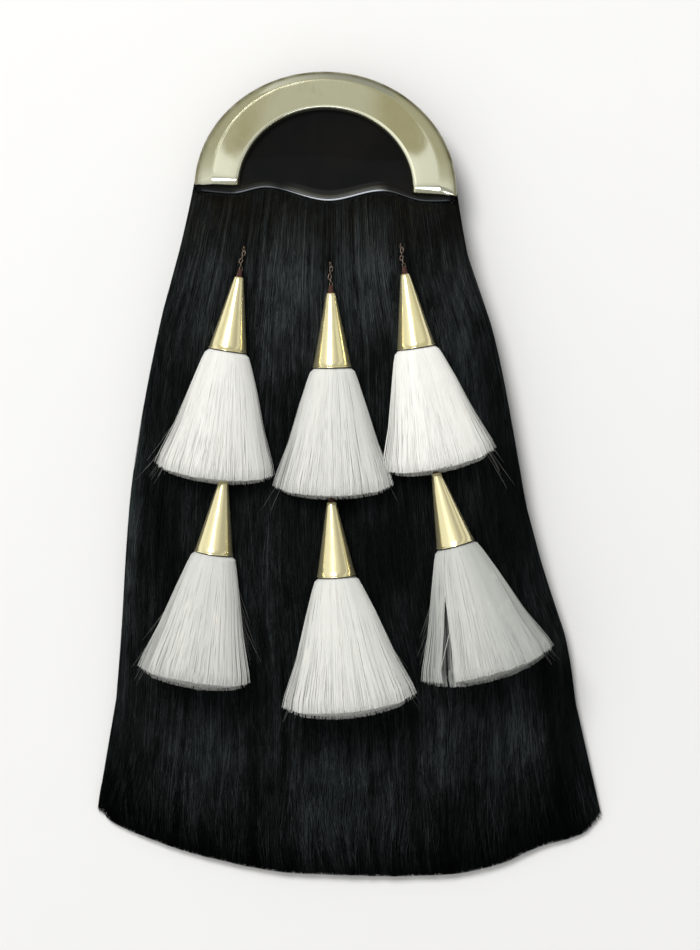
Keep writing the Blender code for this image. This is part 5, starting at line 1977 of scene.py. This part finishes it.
def make_stage(studio):
    bm = bmesh.new()
    bmesh.ops.create_grid(bm, x_segments=1, y_segments=1, size=6.0)
    bmesh.ops.translate(bm, verts=bm.verts, vec=(0, 0, FLOOR_Z))
    recipe = Recipe("pale_floor", roughness=0.9, specular=0.1)
    recipe.colour(recipe.blend(recipe.noise((30, 30, 30)), studio.floor, times(studio.floor, 0.985)))
    floor = new_object("floor", bm, [recipe.material], None)

    make_world(studio)
    add_lamp("key_lamp", KEY_LAMP, studio.key)
    add_lamp("hem_lamp", HEM_LAMP, studio.hem_lamp).visible_diffuse = False
    make_cards()

    data = bpy.data.cameras.new("camera")
    data.sensor_width = SENSOR * 1000
    data.lens = SENSOR * 1000 * (CAMERA_Z - OBJECT_Z) / PICTURE_HEIGHT
    data.clip_end = 50.0
    camera = bpy.data.objects.new("camera", data)
    camera.location = (PICTURE_CENTRE[0], PICTURE_CENTRE[1], CAMERA_Z)
    camera.rotation_euler = (0.0, 0.0, PICTURE_TURN)
    bpy.context.scene.collection.objects.link(camera)
    bpy.context.scene.camera = camera
    bpy.context.scene.view_settings.view_transform = "Standard"


# Operators, panel and registration


class SPORRAN_OT_pouch(bpy.types.Operator):
    """Make the leather pouch with its seam"""

    bl_idname = "sporran.pouch"
    bl_label = "Leather pouch"

    def execute(self, context):
        make_pouch(context.scene.sporran_leather)
        return {"FINISHED"}


class SPORRAN_OT_back(bpy.types.Operator):
    """Make the rear flap, its stud and the belt loops"""

    bl_idname = "sporran.back"
    bl_label = "Flap and belt loops"

    def execute(self, context):
        make_rear_flap(context.scene.sporran_leather, context.scene.sporran_metal)
        make_strap_loops(context.scene.sporran_leather)
        return {"FINISHED"}


class SPORRAN_OT_cantle(bpy.types.Operator):
    """Make the pressed brass cantle"""

    bl_idname = "sporran.cantle"
    bl_label = "Brass cantle"

    def execute(self, context):
        make_cantle(context.scene.sporran_metal)
        return {"FINISHED"}


class SPORRAN_OT_front(bpy.types.Operator):
    """Make the patent leather front with its rolled hem"""

    bl_idname = "sporran.front"
    bl_label = "Patent leather front"

    def execute(self, context):
        make_patent_front(context.scene.sporran_leather)
        return {"FINISHED"}


class SPORRAN_OT_skirt(bpy.types.Operator):
    """Make the black hair skirt: its mass and its single hairs"""

    bl_idname = "sporran.skirt"
    bl_label = "Black hair skirt"

    def execute(self, context):
        make_hair_bed(context.scene.sporran_hair)
        make_skirt_hairs(context.scene.sporran_hair)
        return {"FINISHED"}


class SPORRAN_OT_tassels(bpy.types.Operator):
    """Make the six tassels: cones, chains, white tufts and loose hairs"""

    bl_idname = "sporran.tassels"
    bl_label = "White tassels"

    def execute(self, context):
        sizes = context.scene.sporran_tassels
        metal = context.scene.sporran_metal
        tassels = [Tassel(row) for row in TASSELS]
        if any(tassel.length < TUFT_SHOULDER for tassel in tassels):
            raise RuntimeError("a tuft is shorter than its shoulder is wide")
        make_cones(tassels, metal)
        make_chains(tassels, metal)
        rng = random.Random(sizes.seed)
        core = white_hair(sizes, "tuft_mass", 0.30, 0.98)
        single = white_hair(sizes, "white_horsehair", 0.94, 1.05)
        loose = white_hair(sizes, "loose_horsehair", 0.50, 1.00, 0.45)
        for tassel in tassels:
            make_tuft_core(tassel, core)
            make_tuft_hairs(tassel, sizes, rng, single)
        make_strays(tassels, sizes, rng, loose)
        return {"FINISHED"}


class SPORRAN_OT_stage(bpy.types.Operator):
    """Make the floor, the lights and the camera"""

    bl_idname = "sporran.stage"
    bl_label = "Stage"

    def execute(self, context):
        make_stage(context.scene.sporran_studio)
        return {"FINISHED"}


GROUPS = (
    ("sporran_metal", SporranMetal),
    ("sporran_leather", SporranLeather),
    ("sporran_hair", SporranHair),
    ("sporran_tassels", SporranTassels),
    ("sporran_studio", SporranStudio),
)
OPERATORS = (
    SPORRAN_OT_pouch,
    SPORRAN_OT_back,
    SPORRAN_OT_cantle,
    SPORRAN_OT_front,
    SPORRAN_OT_skirt,
    SPORRAN_OT_tassels,
    SPORRAN_OT_stage,
)


class SPORRAN_PT_panel(bpy.types.Panel):
    """Lists the pieces of the sporran and their sizes and colours"""

    bl_label = "Sporran"
    bl_idname = "SPORRAN_PT_panel"
    bl_space_type = "VIEW_3D"
    bl_region_type = "UI"
    bl_category = "Sporran"

    def draw(self, context):
        for operator in OPERATORS:
            self.layout.operator(operator.bl_idname)
        for name, group in GROUPS:
            box = self.layout.box()
            for prop in group.__annotations__:
                box.prop(getattr(context.scene, name), prop)


def register():
    for name, group in GROUPS:
        bpy.utils.register_class(group)
        setattr(bpy.types.Scene, name, PointerProperty(type=group))
    for operator in OPERATORS:
        bpy.utils.register_class(operator)
    bpy.utils.register_class(SPORRAN_PT_panel)


def unregister():
    bpy.utils.unregister_class(SPORRAN_PT_panel)
    for operator in reversed(OPERATORS):
        bpy.utils.unregister_class(operator)
    for name, group in reversed(GROUPS):
        delattr(bpy.types.Scene, name)
        bpy.utils.unregister_class(group)


def main():
    register()
    bpy.ops.sporran.pouch()
    bpy.ops.sporran.back()
    bpy.ops.sporran.cantle()
    bpy.ops.sporran.front()
    bpy.ops.sporran.skirt()
    bpy.ops.sporran.tassels()
    bpy.ops.sporran.stage()


if __name__ == "__main__":
    main()
